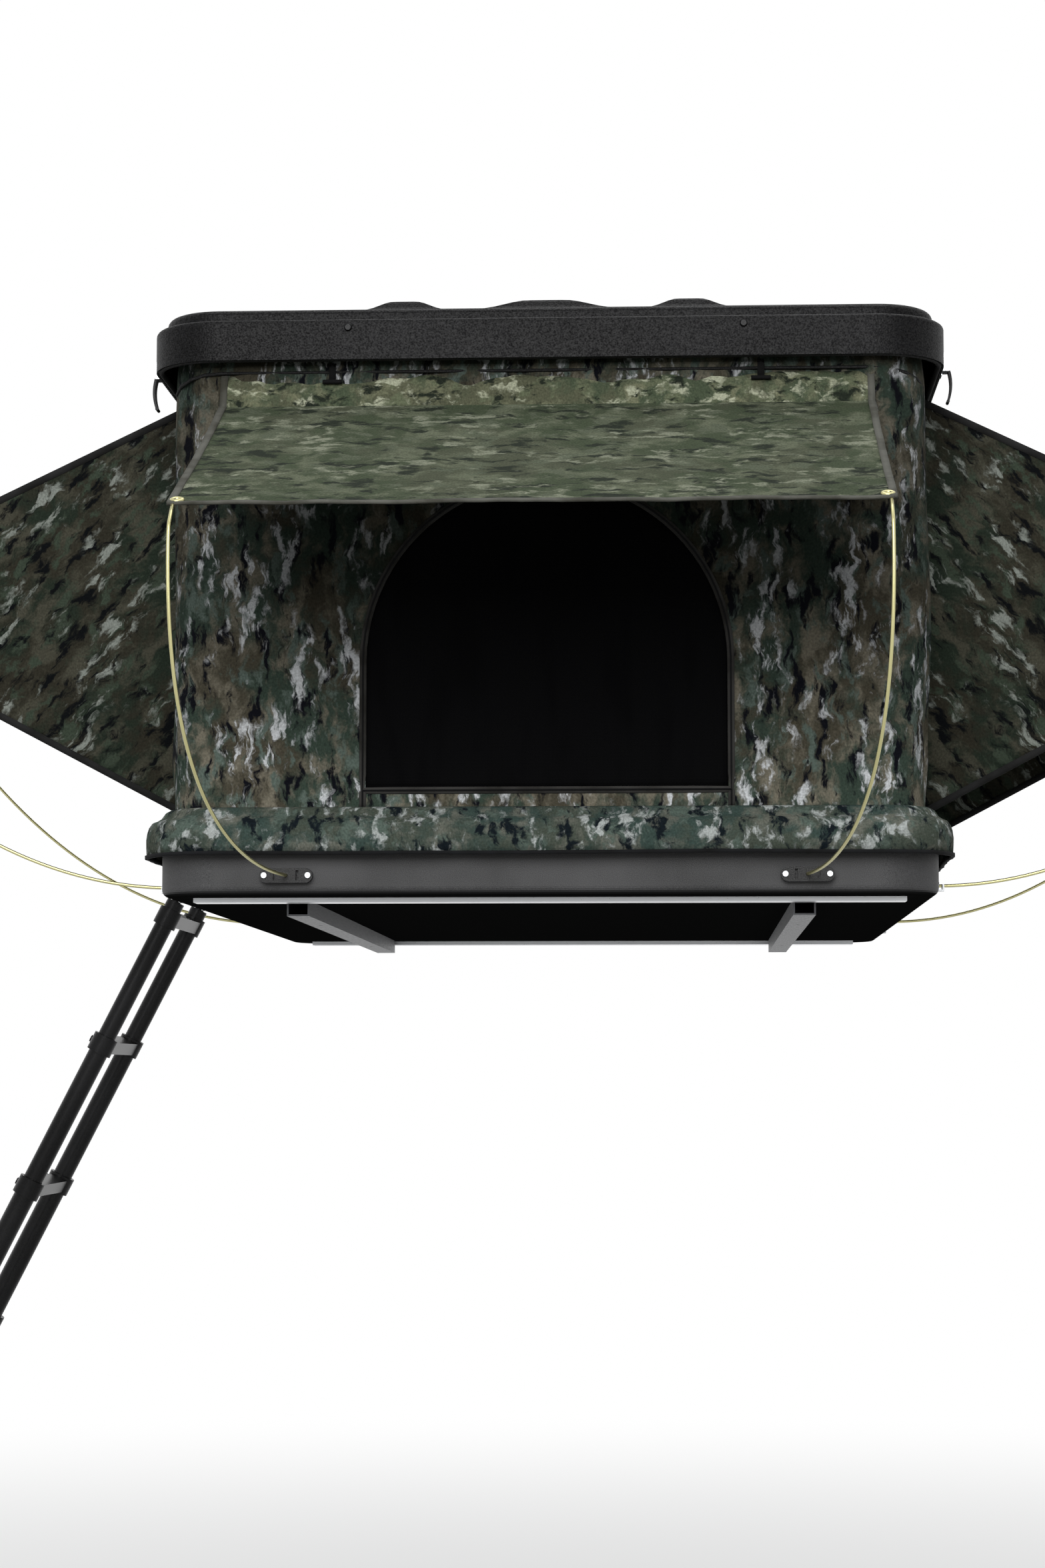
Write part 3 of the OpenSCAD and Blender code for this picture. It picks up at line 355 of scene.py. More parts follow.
@dataclass(frozen=True)
class ScreenMesh:
    """Polyester insect mesh, knitted.

    Args:
        name: material name.
        color: thread colour.
        fold_shade_color: colour of long darker patches, painted light and shade of faint vertical folds.
        pitch_mm: distance between threads, about twice the real one so that it shows.
        fold_shade_mm: width and length of those painted patches.
    """

    name: str
    color: str = "#0c0c0d"
    fold_shade_color: str = "#09090a"
    pitch_mm: float = 3.0
    fold_shade_mm: tuple[float, float] = (60, 260)

    def material(self) -> Material:
        """Returns: the mesh, with its threads as a fine relief."""
        g = Graph(self.name)
        uv = g.add("UVMap", uv_map="cloth")
        wave = {"Vector": uv, "Scale": 1000 / self.pitch_mm / (2 * math.pi)}
        warp, weft = (g.add("TexWave", wave, 1, bands_direction=way) for way in "XY")
        thread = g.add("Math", {0: warp, 1: weft}, operation="MAXIMUM")
        # Painted light and shade: long darker patches stand in for the faint light and shade of vertical
        # folds.
        slack = g.grain(uv, (*self.fold_shade_mm, FLAT), 2)
        color = g.patch(slack, (0.45, 0.7), linear(self.color), linear(self.fold_shade_color))
        return g.surface({"Base Color": color, "Roughness": 0.9, "Specular IOR Level": 0.03}, thread, 0.4)


@dataclass(frozen=True)
class WovenTape:
    """Ribbed tape, webbing, felt or ticking.

    Args:
        name: material name.
        color: thread colour.
        rib_mm: size of the weave, coarser than the real one so that it shows.
        dust: colour of the dust in it.
        dust_mm: size of the dusty patches.
    """

    name: str
    color: str
    rib_mm: float = 2.0
    dust: str = "#6a6862"
    dust_mm: float = 60.0

    def material(self) -> Material:
        """Returns: the tape, with a fine woven relief."""
        g = Graph(self.name)
        place = g.add("TexCoord", out="Object")
        rib = g.grain(place, (self.rib_mm,) * 3, 2)
        dirt = g.grain(place, (self.dust_mm,) * 3, 4)
        color = g.patch(dirt, (0.35, 0.75), linear(self.color), linear(self.dust), "SOFT_LIGHT")
        return g.surface({"Base Color": color, "Roughness": 0.9, "Specular IOR Level": 0.2}, rib, 0.4)


@dataclass(frozen=True)
class MouldedPlastic:
    """Moulded plastic, or a coat as even as one.

    Args:
        name: material name.
        color: body colour.
        roughness: roughness of the surface.
        grain_mm: size of the grain, as coarse as it needs to be to show.
        depth_mm: depth of the grain.
        metallic: how much of the metal below shows.
        sheen: strength of its reflections.
        under: colour of the painted shade on faces that look down, which also lose their reflections; empty
            for none.
        haze: colour of its slight unevenness of tone.
        haze_mm: size of that unevenness.
        spread: how much the grain breaks up the reflections.
        under_at: slopes between which that painted shade sets in, with -1 for straight down.
    """

    name: str
    color: str
    roughness: float
    grain_mm: float = 1.6
    depth_mm: float = 0.25
    metallic: float = 0.0
    sheen: float = 0.3
    under: str = ""
    haze: str = "#565656"
    haze_mm: float = 220.0
    spread: float = 0.7
    under_at: tuple[float, float] = (-0.35, -0.75)

    def material(self) -> Material:
        """Returns: the plastic, with grain and a slight unevenness of tone."""
        g = Graph(self.name)
        place = g.add("TexCoord", out="Object")
        grain = g.grain(place, (self.grain_mm,) * 3, 2)
        tone = g.grain(place, (self.haze_mm,) * 3, 3)
        color = g.patch(tone, (0.3, 0.75), linear(self.color), linear(self.haze), "SOFT_LIGHT")
        weak, strong = (1 - self.spread) * self.sheen, (1 + self.spread) * self.sheen
        shine = g.add("MapRange", {"Value": grain, **CLOUDS, "To Min": weak, "To Max": strong})
        # Painted shade: faces that look down are painted darker and lose their reflections.
        if self.under:
            height = g.add("SeparateXYZ", {0: g.add("TexCoord", out="Normal")}, 2)
            color = g.patch(height, self.under_at, color, linear(self.under))
            shine = g.patch(height, self.under_at, shine, linear("#000000"))
        inputs = {
            "Base Color": color,
            "Roughness": self.roughness,
            "Metallic": self.metallic,
            "Specular IOR Level": shine,
        }
        return g.surface(inputs, grain, self.depth_mm)


@dataclass(frozen=True)
class DrawnMetal:
    """Bare drawn or plated metal.

    Args:
        name: material name.
        color: metal colour.
        roughness: mean roughness.
        brush_mm: size of its streaks along X, Y and Z.
    """

    name: str
    color: str
    roughness: float
    brush_mm: tuple[float, float, float] = (3.0, 40.0, 3.0)

    def material(self) -> Material:
        """Returns: the metal, with streaks of its roughness."""
        g = Graph(self.name)
        streak = g.grain(g.add("TexCoord", out="Object"), self.brush_mm, 3)
        span = {"Value": streak, "To Min": self.roughness * 0.75, "To Max": self.roughness * 1.3}
        inputs = {"Base Color": linear(self.color), "Metallic": 1.0, "Roughness": g.add("MapRange", span)}
        return g.surface(inputs, streak, 0.03)


@dataclass(frozen=True)
class SealedPlywood:
    """Plywood under a clear seal.

    Args:
        name: material name.
        light: early wood colour.
        dark: late wood colour.
        grain_mm: size of its grain along X, Y and Z.
    """

    name: str
    light: str = "#9a7a50"
    dark: str = "#6d5233"
    grain_mm: tuple[float, float, float] = (9, 260, 30)

    def material(self) -> Material:
        """Returns: the plywood, with its grain along the tent."""
        g = Graph(self.name)
        grain = g.grain(g.add("TexCoord", out="Object"), self.grain_mm, 5)
        color = g.patch(grain, (0.35, 0.7), linear(self.light), linear(self.dark))
        return g.surface({"Base Color": color, "Roughness": 0.45}, grain, 0.1)


Finish = CamouflageCanvas | ScreenMesh | WovenTape | MouldedPlastic | DrawnMetal | SealedPlywood

# Polyester canvas, woven and printed: matt, its colours broken up by the weave. Each piece has its own cut;
# the walls, skirt, flap and strip also carry painted light in their colours.
WALL_CANVAS = CamouflageCanvas(
    "wall_canvas", ("#38352c", "#2a342d"), ("#5b574c", "#46504a"), "#090a0f", "#a5a7a9", (20, 60),
    # Painted light: the foot is painted 1.8 times lighter than the top.
    crowd=0.54, start=(3, 1, 0), painted_foot_light=1.8,
)
GUSSET_CANVAS = CamouflageCanvas(
    "gusset_canvas", ("#2f2d25", "#242c24"), ("#444339", "#394237"), "#0b0d0f", "#858a83", (20, 62),
    turn=-42, crowd=0.55, start=(9, 4, 2),
)
SIDE_CANVAS = CamouflageCanvas(
    "side_canvas", ("#323429", "#2b3526"), ("#43483c", "#394237"), "#161b1c", "#71776d", (21, 62),
    turn=90, crowd=0.53, start=(5, 8, 2),
)
# Painted light: the skirt's palette is painted lighter than the walls', standing in for the light that
# falls on it below the awnings.
SKIRT_CANVAS = CamouflageCanvas(
    "skirt_canvas", ("#474e45", "#3b4a45"), ("#686a61", "#56635b"), "#141b20", "#b0b5b3", (24, 44),
    crowd=0.52, start=(1, 7, 4),
)
# Painted light: the flap's palette is painted lighter than the walls', standing in for the light on its
# upturned top.
FLAP_CANVAS = CamouflageCanvas(
    "flap_canvas", ("#464a3c", "#3e4636"), ("#5c6150", "#515748"), "#262b24", "#7a7e6d", (30, 58),
    turn=90, crowd=0.54, start=(5, 2, 9),
)
# Partly painted light: the strip's palette is painted lighter than the flap's, standing in for light on a
# strip that lies in shade; its tan tint is its own.
STRIP_CANVAS = CamouflageCanvas(
    "strip_canvas", ("#505241", "#444d3c"), ("#6b6d57", "#5b614c"), "#222720", "#a2a58f", (24, 40),
    turn=90, crowd=0.5, start=(2, 6, 1),
)
# Polyester mesh, knitted: black, almost without shine.
SCREEN = ScreenMesh("knitted_mesh")
# Polyester tape and webbing, woven: ribbed and dull.
ZIP_TAPE = WovenTape("zip_tape", "#3f3e3c")
BINDING = WovenTape("edge_binding", "#232323")
PIPING = WovenTape("grey_piping", "#5c5c56")
HEM_TAPE = WovenTape("hem_tape", "#17181a")
STRAP = WovenTape("strap_webbing", "#0c0c0d")
# Felt, needled: soft grey without any shine.
LINING = WovenTape("needled_felt", "#4a4a48", 3.0)
# Cotton ticking, woven: flat grey with a close rib.
TICKING = WovenTape("cotton_ticking", "#43474b", 2.5)
# ABS, moulded with a leather grain: near black, its sheen broken into fine points.
SHELL = MouldedPlastic("moulded_abs", "#101011", 0.46, 3.0, 0.6, sheen=0.11)
# Polyethylene, blow moulded: waxy grey gloss on edges; its underside is painted darker and without
# reflections, painted shade.
TRAY = MouldedPlastic("moulded_polyethylene", "#414142", 0.6, 1.2, 0.12, sheen=0.42, under="#2e2e2f")
# Nylon, moulded: black with a soft gleam.
BLACK_PLASTIC = MouldedPlastic("moulded_nylon", "#101011", 0.42)
# Steel, powder coated: black with a fine, even roughness.
POWDER_COAT = MouldedPlastic("powder_coated_steel", "#161617", 0.45, 1.0, 0.1, 0.3)
# Aluminium, anodised black: smooth, with a dark metal's gleam.
ANODISED = MouldedPlastic("anodised_aluminium", "#121213", 0.33, 0.8, 0.04, 0.5)
# Rubber, moulded: deep black, quite dull.
RUBBER = MouldedPlastic("moulded_rubber", "#0b0b0b", 0.75)
# Aluminium, extruded and left bare: bright, with streaks along its length. The rails' copy is painted dark
# grey, painted shade for the shadow under the tray.
ALLOY = DrawnMetal("extruded_aluminium", "#d3d5d7", 0.3)
RAIL_ALLOY = DrawnMetal("shaded_rail_aluminium", "#5a5b5d", 0.45)
# Steel, zinc plated: bright grey, slightly mottled.
ZINC = DrawnMetal("zinc_plated_steel", "#b9bbbd", 0.28, (4.0, 4.0, 4.0))
# Spring steel, brass plated: pale yellow with a soft gleam.
BRASS = DrawnMetal("brass_plated_steel", "#bfba8a", 0.36, (4.0, 4.0, 4.0))
# Birch plywood, sealed: warm brown with a satin coat.
PLYWOOD = SealedPlywood("sealed_plywood")

MATERIALS: dict[str, Material] = {}


def material(finish: Finish) -> Material:
    """Builds a finish once and hands out the same material after that.

    Args:
        finish: one of the finishes above.

    Returns:
        Its material.
    """
    if finish.name not in MATERIALS:
        MATERIALS[finish.name] = finish.material()
    return MATERIALS[finish.name]


def link(name: str, data: bpy.types.ID) -> Object:
    """Puts a new object into the scene.

    Args:
        name: object name.
        data: its mesh, lamp or camera.

    Returns:
        The object.
    """
    obj = bpy.data.objects.new(name, data)
    bpy.context.scene.collection.objects.link(obj)
    return obj


def mount(obj: Object, body: str, slot: str, *nodes: str) -> Object:
    """Puts a piece on its body in place of the plain solids it stands for.

    Args:
        obj: the piece.
        body: body that carries it.
        slot: material slot in the record; not used.
        nodes: solids that it stands for.

    Returns:
        The piece.
    """
    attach(obj, body)
    if nodes:
        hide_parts(*nodes)
    log.info("%s on %s", obj.name, body)
    return obj


class Mesh:
    """Gathers sheets, tubes and bands into one object."""

    def __init__(self) -> None:
        """Starts without any points."""
        self.points: list[Vector] = []
        self.maps: list[Point] = []
        self.faces: list[tuple[int, ...]] = []
        self.finish: list[int] = []

    def grid(
        self,
        rows: Sequence[Sequence[Knot]],
        keep: Callable[[int, int], bool] | None = None,
        finish: Callable[[int], int] | None = None,
        closed: bool = False,
    ) -> None:
        """Adds a sheet of quads.

        Args:
            rows: knots, row by row: a point, its place on the flat cloth in metres and perhaps a mark.
            keep: tells if the quad at a row and column is part of the sheet.
            finish: gives the material index of a row of quads.
            closed: joins each row's last knot to its first.
        """
        start, wide = len(self.points), len(rows[0])
        for row in rows:
            self.points += [Vector(knot[0]) for knot in row]
            self.maps += [knot[1] for knot in row]
        for i in range(len(rows) - 1):
            for j in range(wide if closed else wide - 1):
                if keep is None or keep(i, j):
                    a, b = start + i * wide + j, start + i * wide + (j + 1) % wide
                    self.faces.append((a, b, b + wide, a + wide))
                    self.finish.append(finish(i) if finish else 0)

    def sweep(
        self,
        path: Sequence[Point],
        section: Sequence[Point],
        up: Point,
        closed: bool = False,
        finish: int = 0,
    ) -> None:
        """Sweeps a closed section along a path.

        Args:
            path: points of the path.
            section: outline as (across, up) pairs.
            up: direction that the section's second axis keeps to.
            closed: joins the path's end to its start.
            finish: material index.
        """
        line = [Vector(p) for p in path]
        n, start, k = len(line), len(self.points), len(section)
        run = 0.0
        for i, p in enumerate(line):
            before = line[i - 1] if i or closed else p
            after = line[(i + 1) % n] if i < n - 1 or closed else p
            along = (after - before).normalized()
            across = along.cross(Vector(up)).normalized()
            rise = across.cross(along)
            run += (p - line[i - 1]).length if i else 0.0
            self.points += [p + across * s[0] + rise * s[1] for s in section]
            self.maps += [(j / k * SWEPT_WIDTH, run) for j in range(k)]
        for i in range(n if closed else n - 1):
            here, there = start + i * k, start + (i + 1) % n * k
            for j in range(k):
                after = (j + 1) % k
                self.faces.append((here + j, here + after, there + after, there + j))
                self.finish.append(finish)
        if not closed:
            last = start + (n - 1) * k
            self.faces += [tuple(range(start + k - 1, start - 1, -1)), tuple(range(last, last + k))]
            self.finish += [finish, finish]

    def tube(
        self,
        path: Sequence[Point],
        radius: float,
        up: Point,
        closed: bool = False,
        sides: int = 10,
        finish: int = 0,
    ) -> None:
        """Sweeps a round bar along a path; up is a direction that the path never takes."""
        self.sweep(path, circle(radius, sides), up, closed, finish)

    @staticmethod
    def clean(data: bpy.types.Mesh) -> None:
        """Joins points that meet, and takes out faces without area and points without a face.

        Args:
            data: the mesh to clean.
        """
        near = 1e-6
        work = bmesh.new()
        work.from_mesh(data)
        bmesh.ops.remove_doubles(work, verts=work.verts, dist=near)
        bmesh.ops.dissolve_degenerate(work, edges=work.edges, dist=near)
        loose = [point for point in work.verts if not point.link_faces]
        bmesh.ops.delete(work, geom=loose, context="VERTS")
        work.to_mesh(data)
        work.free()

    def build(self, name: str, finishes: Sequence[Finish], thickness: float = 0.0) -> Object:
        """Makes the object.

        Args:
            name: object name.
            finishes: its finishes, in the order of their indices.
            thickness: thickness of the cloth, laid to the inside.

        Returns:
            The object, in the row frame.
        """
        data = bpy.data.meshes.new(name)
        data.from_pydata(self.points, [], self.faces)
        layer = data.uv_layers.new(name="cloth")
        for loop in data.loops:
            layer.data[loop.index].uv = self.maps[loop.vertex_index]
        for polygon, index in zip(data.polygons, self.finish):
            polygon.use_smooth = True
            polygon.material_index = index
        for finish in finishes:
            data.materials.append(material(finish))
        self.clean(data)
        obj = link(name, data)
        if thickness:
            solid = obj.modifiers.new("thickness", "SOLIDIFY")
            solid.thickness = thickness
            solid.offset = -1.0
        return obj


def marked(rows: Sequence[Sequence[Knot]], i: int, j: int) -> bool:
    """Returns: if all four knots of a quad are marked."""
    return all(rows[a][b][2] for a in (i, i + 1) for b in (j, j + 1))


@dataclass(frozen=True)
class Outline:
    """Rounded outline seen from above, walked from the middle of the rear.

    Args:
        corner_x: X of the corner centres.
        corner_y: Y of the corner centres.
        radius: corner radius.
    """

    corner_x: float
    corner_y: float
    radius: float

    @property
    def length(self) -> float:
        """Returns: the length of the outline."""
        return 4 * (self.corner_x + self.corner_y) + 2 * math.pi * self.radius

    def at(self, run: float) -> tuple[Vector, Vector, float]:
        """Finds a place on the outline.

        Args:
            run: distance walked from the middle of the rear, over the left side.

        Returns:
            The point, the outward direction and the distance to the nearest corner.
        """
        x, y, r = self.corner_x, self.corner_y, self.radius
        arc = math.pi / 2 * r
        legs = [x, arc, 2 * y, arc, 2 * x, arc, 2 * y, arc, x]
        starts = [(0, y), (-x, y), (-x, y), (-x, -y), (-x, -y), (x, -y), (x, -y), (x, y), (x, y)]
        last = len(legs) - 1
        for i, leg in enumerate(legs):
            if run <= leg or i == last:
                break
            run -= leg
        # Straight legs and round corners take turns; heading is the way that a leg faces at its start.
        heading = math.pi / 2 * (1 + (i + 1) // 2 - (i % 2))
        start = Vector((*starts[i], 0))
        if i % 2:
            a = heading + run / r
            out = Vector((math.cos(a), math.sin(a), 0))
            return start + out * r, out, 0.0
        out = Vector((round(math.cos(heading)), round(math.sin(heading)), 0))
        step = Vector((-out.y, out.x, 0))
        near = leg - run if i == 0 else run if i == last else min(run, leg - run)
        return start + out * r + step * run, out, near


@dataclass(frozen=True)
class Arch:
    """Arched opening in a wall.

    Args:
        width: width of the opening.
        sill: height of its sill.
        spring: height where the round head starts.
    """

    width: float
    sill: float
    spring: float

    @property
    def tall(self) -> float:
        """Returns: the height of the opening."""
        return self.spring + self.width / 2 - self.sill

    @property
    def area(self) -> float:
        """Returns: the area of the opening."""
        return self.width * (self.spring - self.sill) + math.pi * self.width**2 / 8

    def distance(self, x: float, z: float) -> float:
        """Measures a point against the opening.

        Args:
            x: distance from the opening's middle.
            z: height.

        Returns:
            Distance to its edge, negative inside.
        """
        if z > self.spring:
            return math.hypot(x, z - self.spring) - self.width / 2
        return max(abs(x) - self.width / 2, self.sill - z)

    def snap(self, x: float, z: float) -> tuple[float, float]:
        """Moves a point onto the nearest edge of the opening.

        Args:
            x: distance from the opening's middle.
            z: height.

        Returns:
            The moved point.
        """
        half = self.width / 2
        if z > self.spring:
            k = half / max(1e-6, math.hypot(x, z - self.spring))
            return x * k, self.spring + (z - self.spring) * k
        if abs(x) - half > self.sill - z:
            return math.copysign(half, x), max(z, self.sill)
        return max(-half, min(half, x)), self.sill

    def edge(self, grow: float, steps: int = 40) -> list[tuple[float, float]]:
        """Walks the opening's edge.

        Args:
            grow: how far outside the edge to walk.
            steps: steps along the round head.

        Returns:
            Points from the left of the sill up, over and down, then back along the sill.
        """
        half, low = self.width / 2 + grow, self.sill - grow
        head = [math.pi - math.pi * i / steps for i in range(steps + 1)]
        up = [(-half, low + (self.spring - low) * i / 8) for i in range(8)]
        over = [(half * math.cos(a), self.spring + half * math.sin(a)) for a in head]
        down = [(half, self.spring + (low - self.spring) * i / 8) for i in range(1, 9)]
        back = [(half - 2 * half * i / 12, low) for i in range(1, 12)]
        return up + over + down + back


@dataclass
class TentBody:
    """Cloth walls with their screens, zips, rolled door and tuck cord.

    Args:
        window: the end windows.
        door: the side doors.
        corner: radius of the walls' corners.
        cell: size of the quads in walls and screens.
        reach: how near an opening's edge a knot is drawn onto it, in cells.
        fold_to: height that the walls fold down to.
        canvas: thickness of the walls.
        mesh: thickness of the screens.
        pleats: upright folds at the corners.
        creases: fine folds, most at the corners.
        billows: broad waves.
        drapes: upright waves.
        gathers: folds under the shell.
        bulge: how far the walls stand out between their ends.
        corner_reach: how far the corners' folds run along the walls.
        crease_rest: share of the creases that runs on between the corners.
        gather_z: heights between which the gathers set in.
        hold_foot: distance above the seam where the cloth comes free.
        hold_head: distances below the shell where it is held again.
        hold_edge: distances from an opening where it comes free.
        screen_in: distance of the screens inside the walls.
        sags: slack of the screens.
        sag_mean: mean slack, as a share of its folds' depth.
        sag_reach: distance from an opening's edge where the slack is full.
        zip_gap: distance of the zips' middle from an opening's edge.
        zip_lift: distance of the zips from the cloth.
        zip_half: half the width of a zip's tape.
        zip_thick: thickness of the tape at its edges and in its middle.
        zip_tail: how far the windows' tails reach below the seam.
        teeth_half: half the width of the teeth.
        teeth_z: heights of the teeth's foot and top above the tape's foot.
        roll_ties: places of the straps along the rolled door, as shares.
        roll_full: size of the roll, as a share of its solid's radius.
        roll_waist: how much the straps draw it in, as such a share.
        roll_taper: how much its ends draw in, as such a share.
        roll_strap: radius of the straps, as such a share.
        roll_rumple: unevenness of the roll, as such a share.
        roll_draw: how far along the roll a strap and an end draw it in, as shares.
        roll_girth: length of mesh round the roll.
        roll_tie: half the thickness and half the width of the straps.
        cord: radius of the tuck cord.
        cord_corner: height of the cord where a corner meets a side, as a share of its rise.
        cord_run: distance over which it comes down along a side.
    """

    window: Arch = Arch(0.630, 0.215, 0.436)
    door: Arch = Arch(0.800, 0.228, 0.478)
    corner: float = 0.083
    cell: float = 0.0145
    reach: float = 0.72
    fold_to: float = 0.154
    canvas: float = 0.0016
    mesh: float = 0.0006
    pleats: Folds = Folds((34, 2.2, 4.1), 0.011)
    creases: Folds = Folds((70, 5, 9.3), 0.004)
    billows: Folds = Folds((4.3, 3.6, 1.7), 0.008)
    drapes: Folds = Folds((13, 1.8, 6.4), 0.005)
    gathers: Folds = Folds((22, 9, 2.2), 0.006)
    bulge: float = 0.002
    corner_reach: float = 0.13
    crease_rest: float = 0.25
    gather_z: tuple[float, float] = (0.78, 0.93)
    hold_foot: float = 0.09
    hold_head: tuple[float, float] = (0.12, 0.03)
    hold_edge: tuple[float, float] = (0.012, 0.09)
    screen_in: float = 0.0008
    sags: Folds = Folds((7, 3, 2), 0.006)
    sag_mean: float = 0.6
    sag_reach: float = 0.2
    zip_gap: float = 0.005
    zip_lift: float = 0.0002
    zip_half: float = 0.006
    zip_thick: tuple[float, float] = (0.0012, 0.0022)
    zip_tail: float = 0.002
    teeth_half: float = 0.0016
    teeth_z: tuple[float, float] = (0.0018, 0.0034)
    roll_ties: tuple[float, float] = (0.22, 0.78)
    roll_full: float = 0.93
    roll_waist: float = 0.16
    roll_taper: float = 0.12
    roll_strap: float = 0.82
    roll_rumple: Folds = Folds((16, 1.2, 1.2), 0.07)
    roll_draw: tuple[float, float] = (0.03, 0.04)
    roll_girth: float = 0.094
    roll_tie: tuple[float, float] = (0.0012, 0.008)
    cord: float = 0.003
    cord_corner: float = 0.4
    cord_run: float = 0.16

    def __post_init__(self) -> None:
        """Reads the walls' place from the frame."""
        low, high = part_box("tent_walls")
        self.low, self.high = low.z, high.z
        self.x, self.y = high.x, high.y
        self.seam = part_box("skirt")[1].z
        self.catch = self.reach * self.cell
        self.outline = Outline(self.x - self.corner, self.y - self.corner, self.corner)
        lowest = next(joint["range_m"][0] for joint in frame["joints"] if joint["name"] == LIFT)
        self.keep = (self.high + lowest - self.fold_to) / (self.high - self.fold_to)

    def fold(self, obj: Object) -> Object:
        """Returns: a piece of the walls, with a mesh of its own."""
        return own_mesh(obj)

    def slack(self, run: float, z: float, near: float, clear: float) -> float:
        """Gives the cloth's folds.

        Args:
            run: distance along the outline.
            z: height.
            near: distance to the nearest corner.
            clear: distance to the nearest opening.

        Returns:
            How far the cloth stands out from its flat wall.
        """
        corner = 1 - smooth(near, 0.0, self.corner_reach)
        folds = self.pleats.at(run, z) * corner + self.creases.at(run, z) * (self.crease_rest + corner)
        folds += self.billows.at(run, z) + self.drapes.at(run, z)
        folds += self.gathers.at(run, z) * smooth(z, *self.gather_z)
        foot = smooth(z, self.seam, self.seam + self.hold_foot)
        head = 1 - smooth(z, *(self.high - below for below in self.hold_head))
        return (folds + self.bulge) * foot * head * smooth(clear, *self.hold_edge)

    def wall_knot(self, run: float, z: float) -> Knot:
        """Reads the walls, drawn onto the edges of their openings.

        Args:
            run: distance along the outline.
            z: height.

        Returns:
            The point, its place on the flat cloth, and a mark inside the openings.
        """
        p, out, near = self.outline.at(run)
        clear = math.inf
        for arch, x, way in ((self.window, p.x, ACROSS), (self.door, p.y, ALONG)):
            # Only a flat wall that runs this way has the opening.
            if abs(out.dot(Vector(way))) > 0.001:
                continue
            clear = arch.distance(x, z)
            if abs(clear) < self.catch:
                edge_x, z = arch.snap(x, z)
                p = p + Vector(way) * (edge_x - x)
                clear = 0.0
        p = p + out * self.slack(run, z, near, max(0.0, clear))
        return (p.x, p.y, z), (run, z), clear < 1e-6

    def walls(self) -> Object:
        """Returns: the wall sleeve, with its openings cut to a clean edge."""
        around, tall = self.outline.length, self.high - self.low
        columns, levels = round(around / self.cell), round(tall / self.cell)
        runs = [around * j / columns for j in range(columns + 1)]
        heights = [self.low + tall * i / levels for i in range(levels + 1)]
        rows = [[self.wall_knot(run, z) for run in runs] for z in heights]
        mesh = Mesh()
        mesh.grid(rows, lambda i, j: not marked(rows, i, j))
        obj = mesh.build("walls", [WALL_CANVAS], self.canvas)
        mount(obj, "base", "camouflage_cloth", "tent_walls")
        return self.fold(obj)

    def openings(self) -> list[tuple[Arch, End | Side]]:
        """Returns: each opening with its wall."""
        return [(self.window, end) for end in End] + [(self.door, side) for side in Side]

    def on_wall(self, wall: End | Side, u: float, z: float, d: float) -> Vector:
        """Places a point on a wall.

        Args:
            wall: the wall.
            u: distance from its middle.
            z: height.
            d: distance outside the wall.

        Returns:
            The point.
        """
        s = wall.value
        if isinstance(wall, End):
            return Vector((-s * u, s * (self.y + d), z))
        return Vector((s * (self.x + d), s * u, z))

    def screen_knot(self, arch: Arch, wall: End | Side, u: float, z: float) -> Knot:
        """Reads a screen, drawn onto the edge of its opening.

        Args:
            arch: the opening.
            wall: its wall.
            u: distance from the opening's middle.
            z: height.

        Returns:
            The point, its place on the flat mesh, and a mark inside the opening.
        """
        gap = arch.distance(u, z)
        if abs(gap) < self.catch:
            u, z = arch.snap(u, z)
            gap = 0.0
        sag = smooth(-gap, 0.0, self.sag_reach) * (self.sag_mean * self.sags.depth + self.sags.at(u, z))
        return self.on_wall(wall, u, z, -self.screen_in - sag), (u, z), gap < 1e-6

    def screens(self) -> Object:
        """Returns: the mesh screens of all openings but the open left door, slightly slack."""
        mesh, area, height = Mesh(), 0.0, self.door.width
        for arch, wall in self.openings():
            if wall is Side.LEFT:
                continue
            columns, levels = round(arch.width / self.cell), round(arch.tall / self.cell)
            across = [arch.width * (j / columns - 0.5) for j in range(columns + 1)]
            heights = [arch.sill + arch.tall * i / levels for i in range(levels + 1)]
            rows = [[self.screen_knot(arch, wall, u, z) for u in across] for z in heights]
            mesh.grid(rows, lambda i, j: marked(rows, i, j))
            area += arch.area
        obj = mount(mesh.build("screens", [SCREEN], self.mesh), "base", "mesh", "window_screens")
        return self.fold(obj)

    def zips(self) -> Object:
        """Returns: the zip tapes, with their teeth and their tails down to the seam."""
        mesh, half, (thin, thick) = Mesh(), self.zip_half, self.zip_thick
        tape = [(-half, 0.0), (-half, thin), (0.0, thick), (half, thin), (half, 0.0)]
        wide, (low, high) = self.teeth_half, self.teeth_z
        teeth = [(-wide, low), (-wide, high), (wide, high), (wide, low)]
        for arch, wall in self.openings():
            out = self.on_wall(wall, 0, 0, 1) - self.on_wall(wall, 0, 0, 0)
            paths = [[self.on_wall(wall, u, z, self.zip_lift) for u, z in arch.edge(self.zip_gap)]]
            if arch is self.window:
                top, foot = arch.sill - half, self.seam - self.zip_tail
                for u in (-arch.width / 2 - self.zip_gap, arch.width / 2 + self.zip_gap):
                    heights = [top + (foot - top) * k / 4 for k in range(5)]
                    paths.append([self.on_wall(wall, u, z, self.zip_lift) for z in heights])
            for i, path in enumerate(paths):
                mesh.sweep(path, tape, out, i == 0)
                mesh.sweep(path, teeth, out, i == 0, 1)
        return self.fold(mount(mesh.build("zips", [ZIP_TAPE, STRAP]), "base", "zip_tape", "window_zips"))

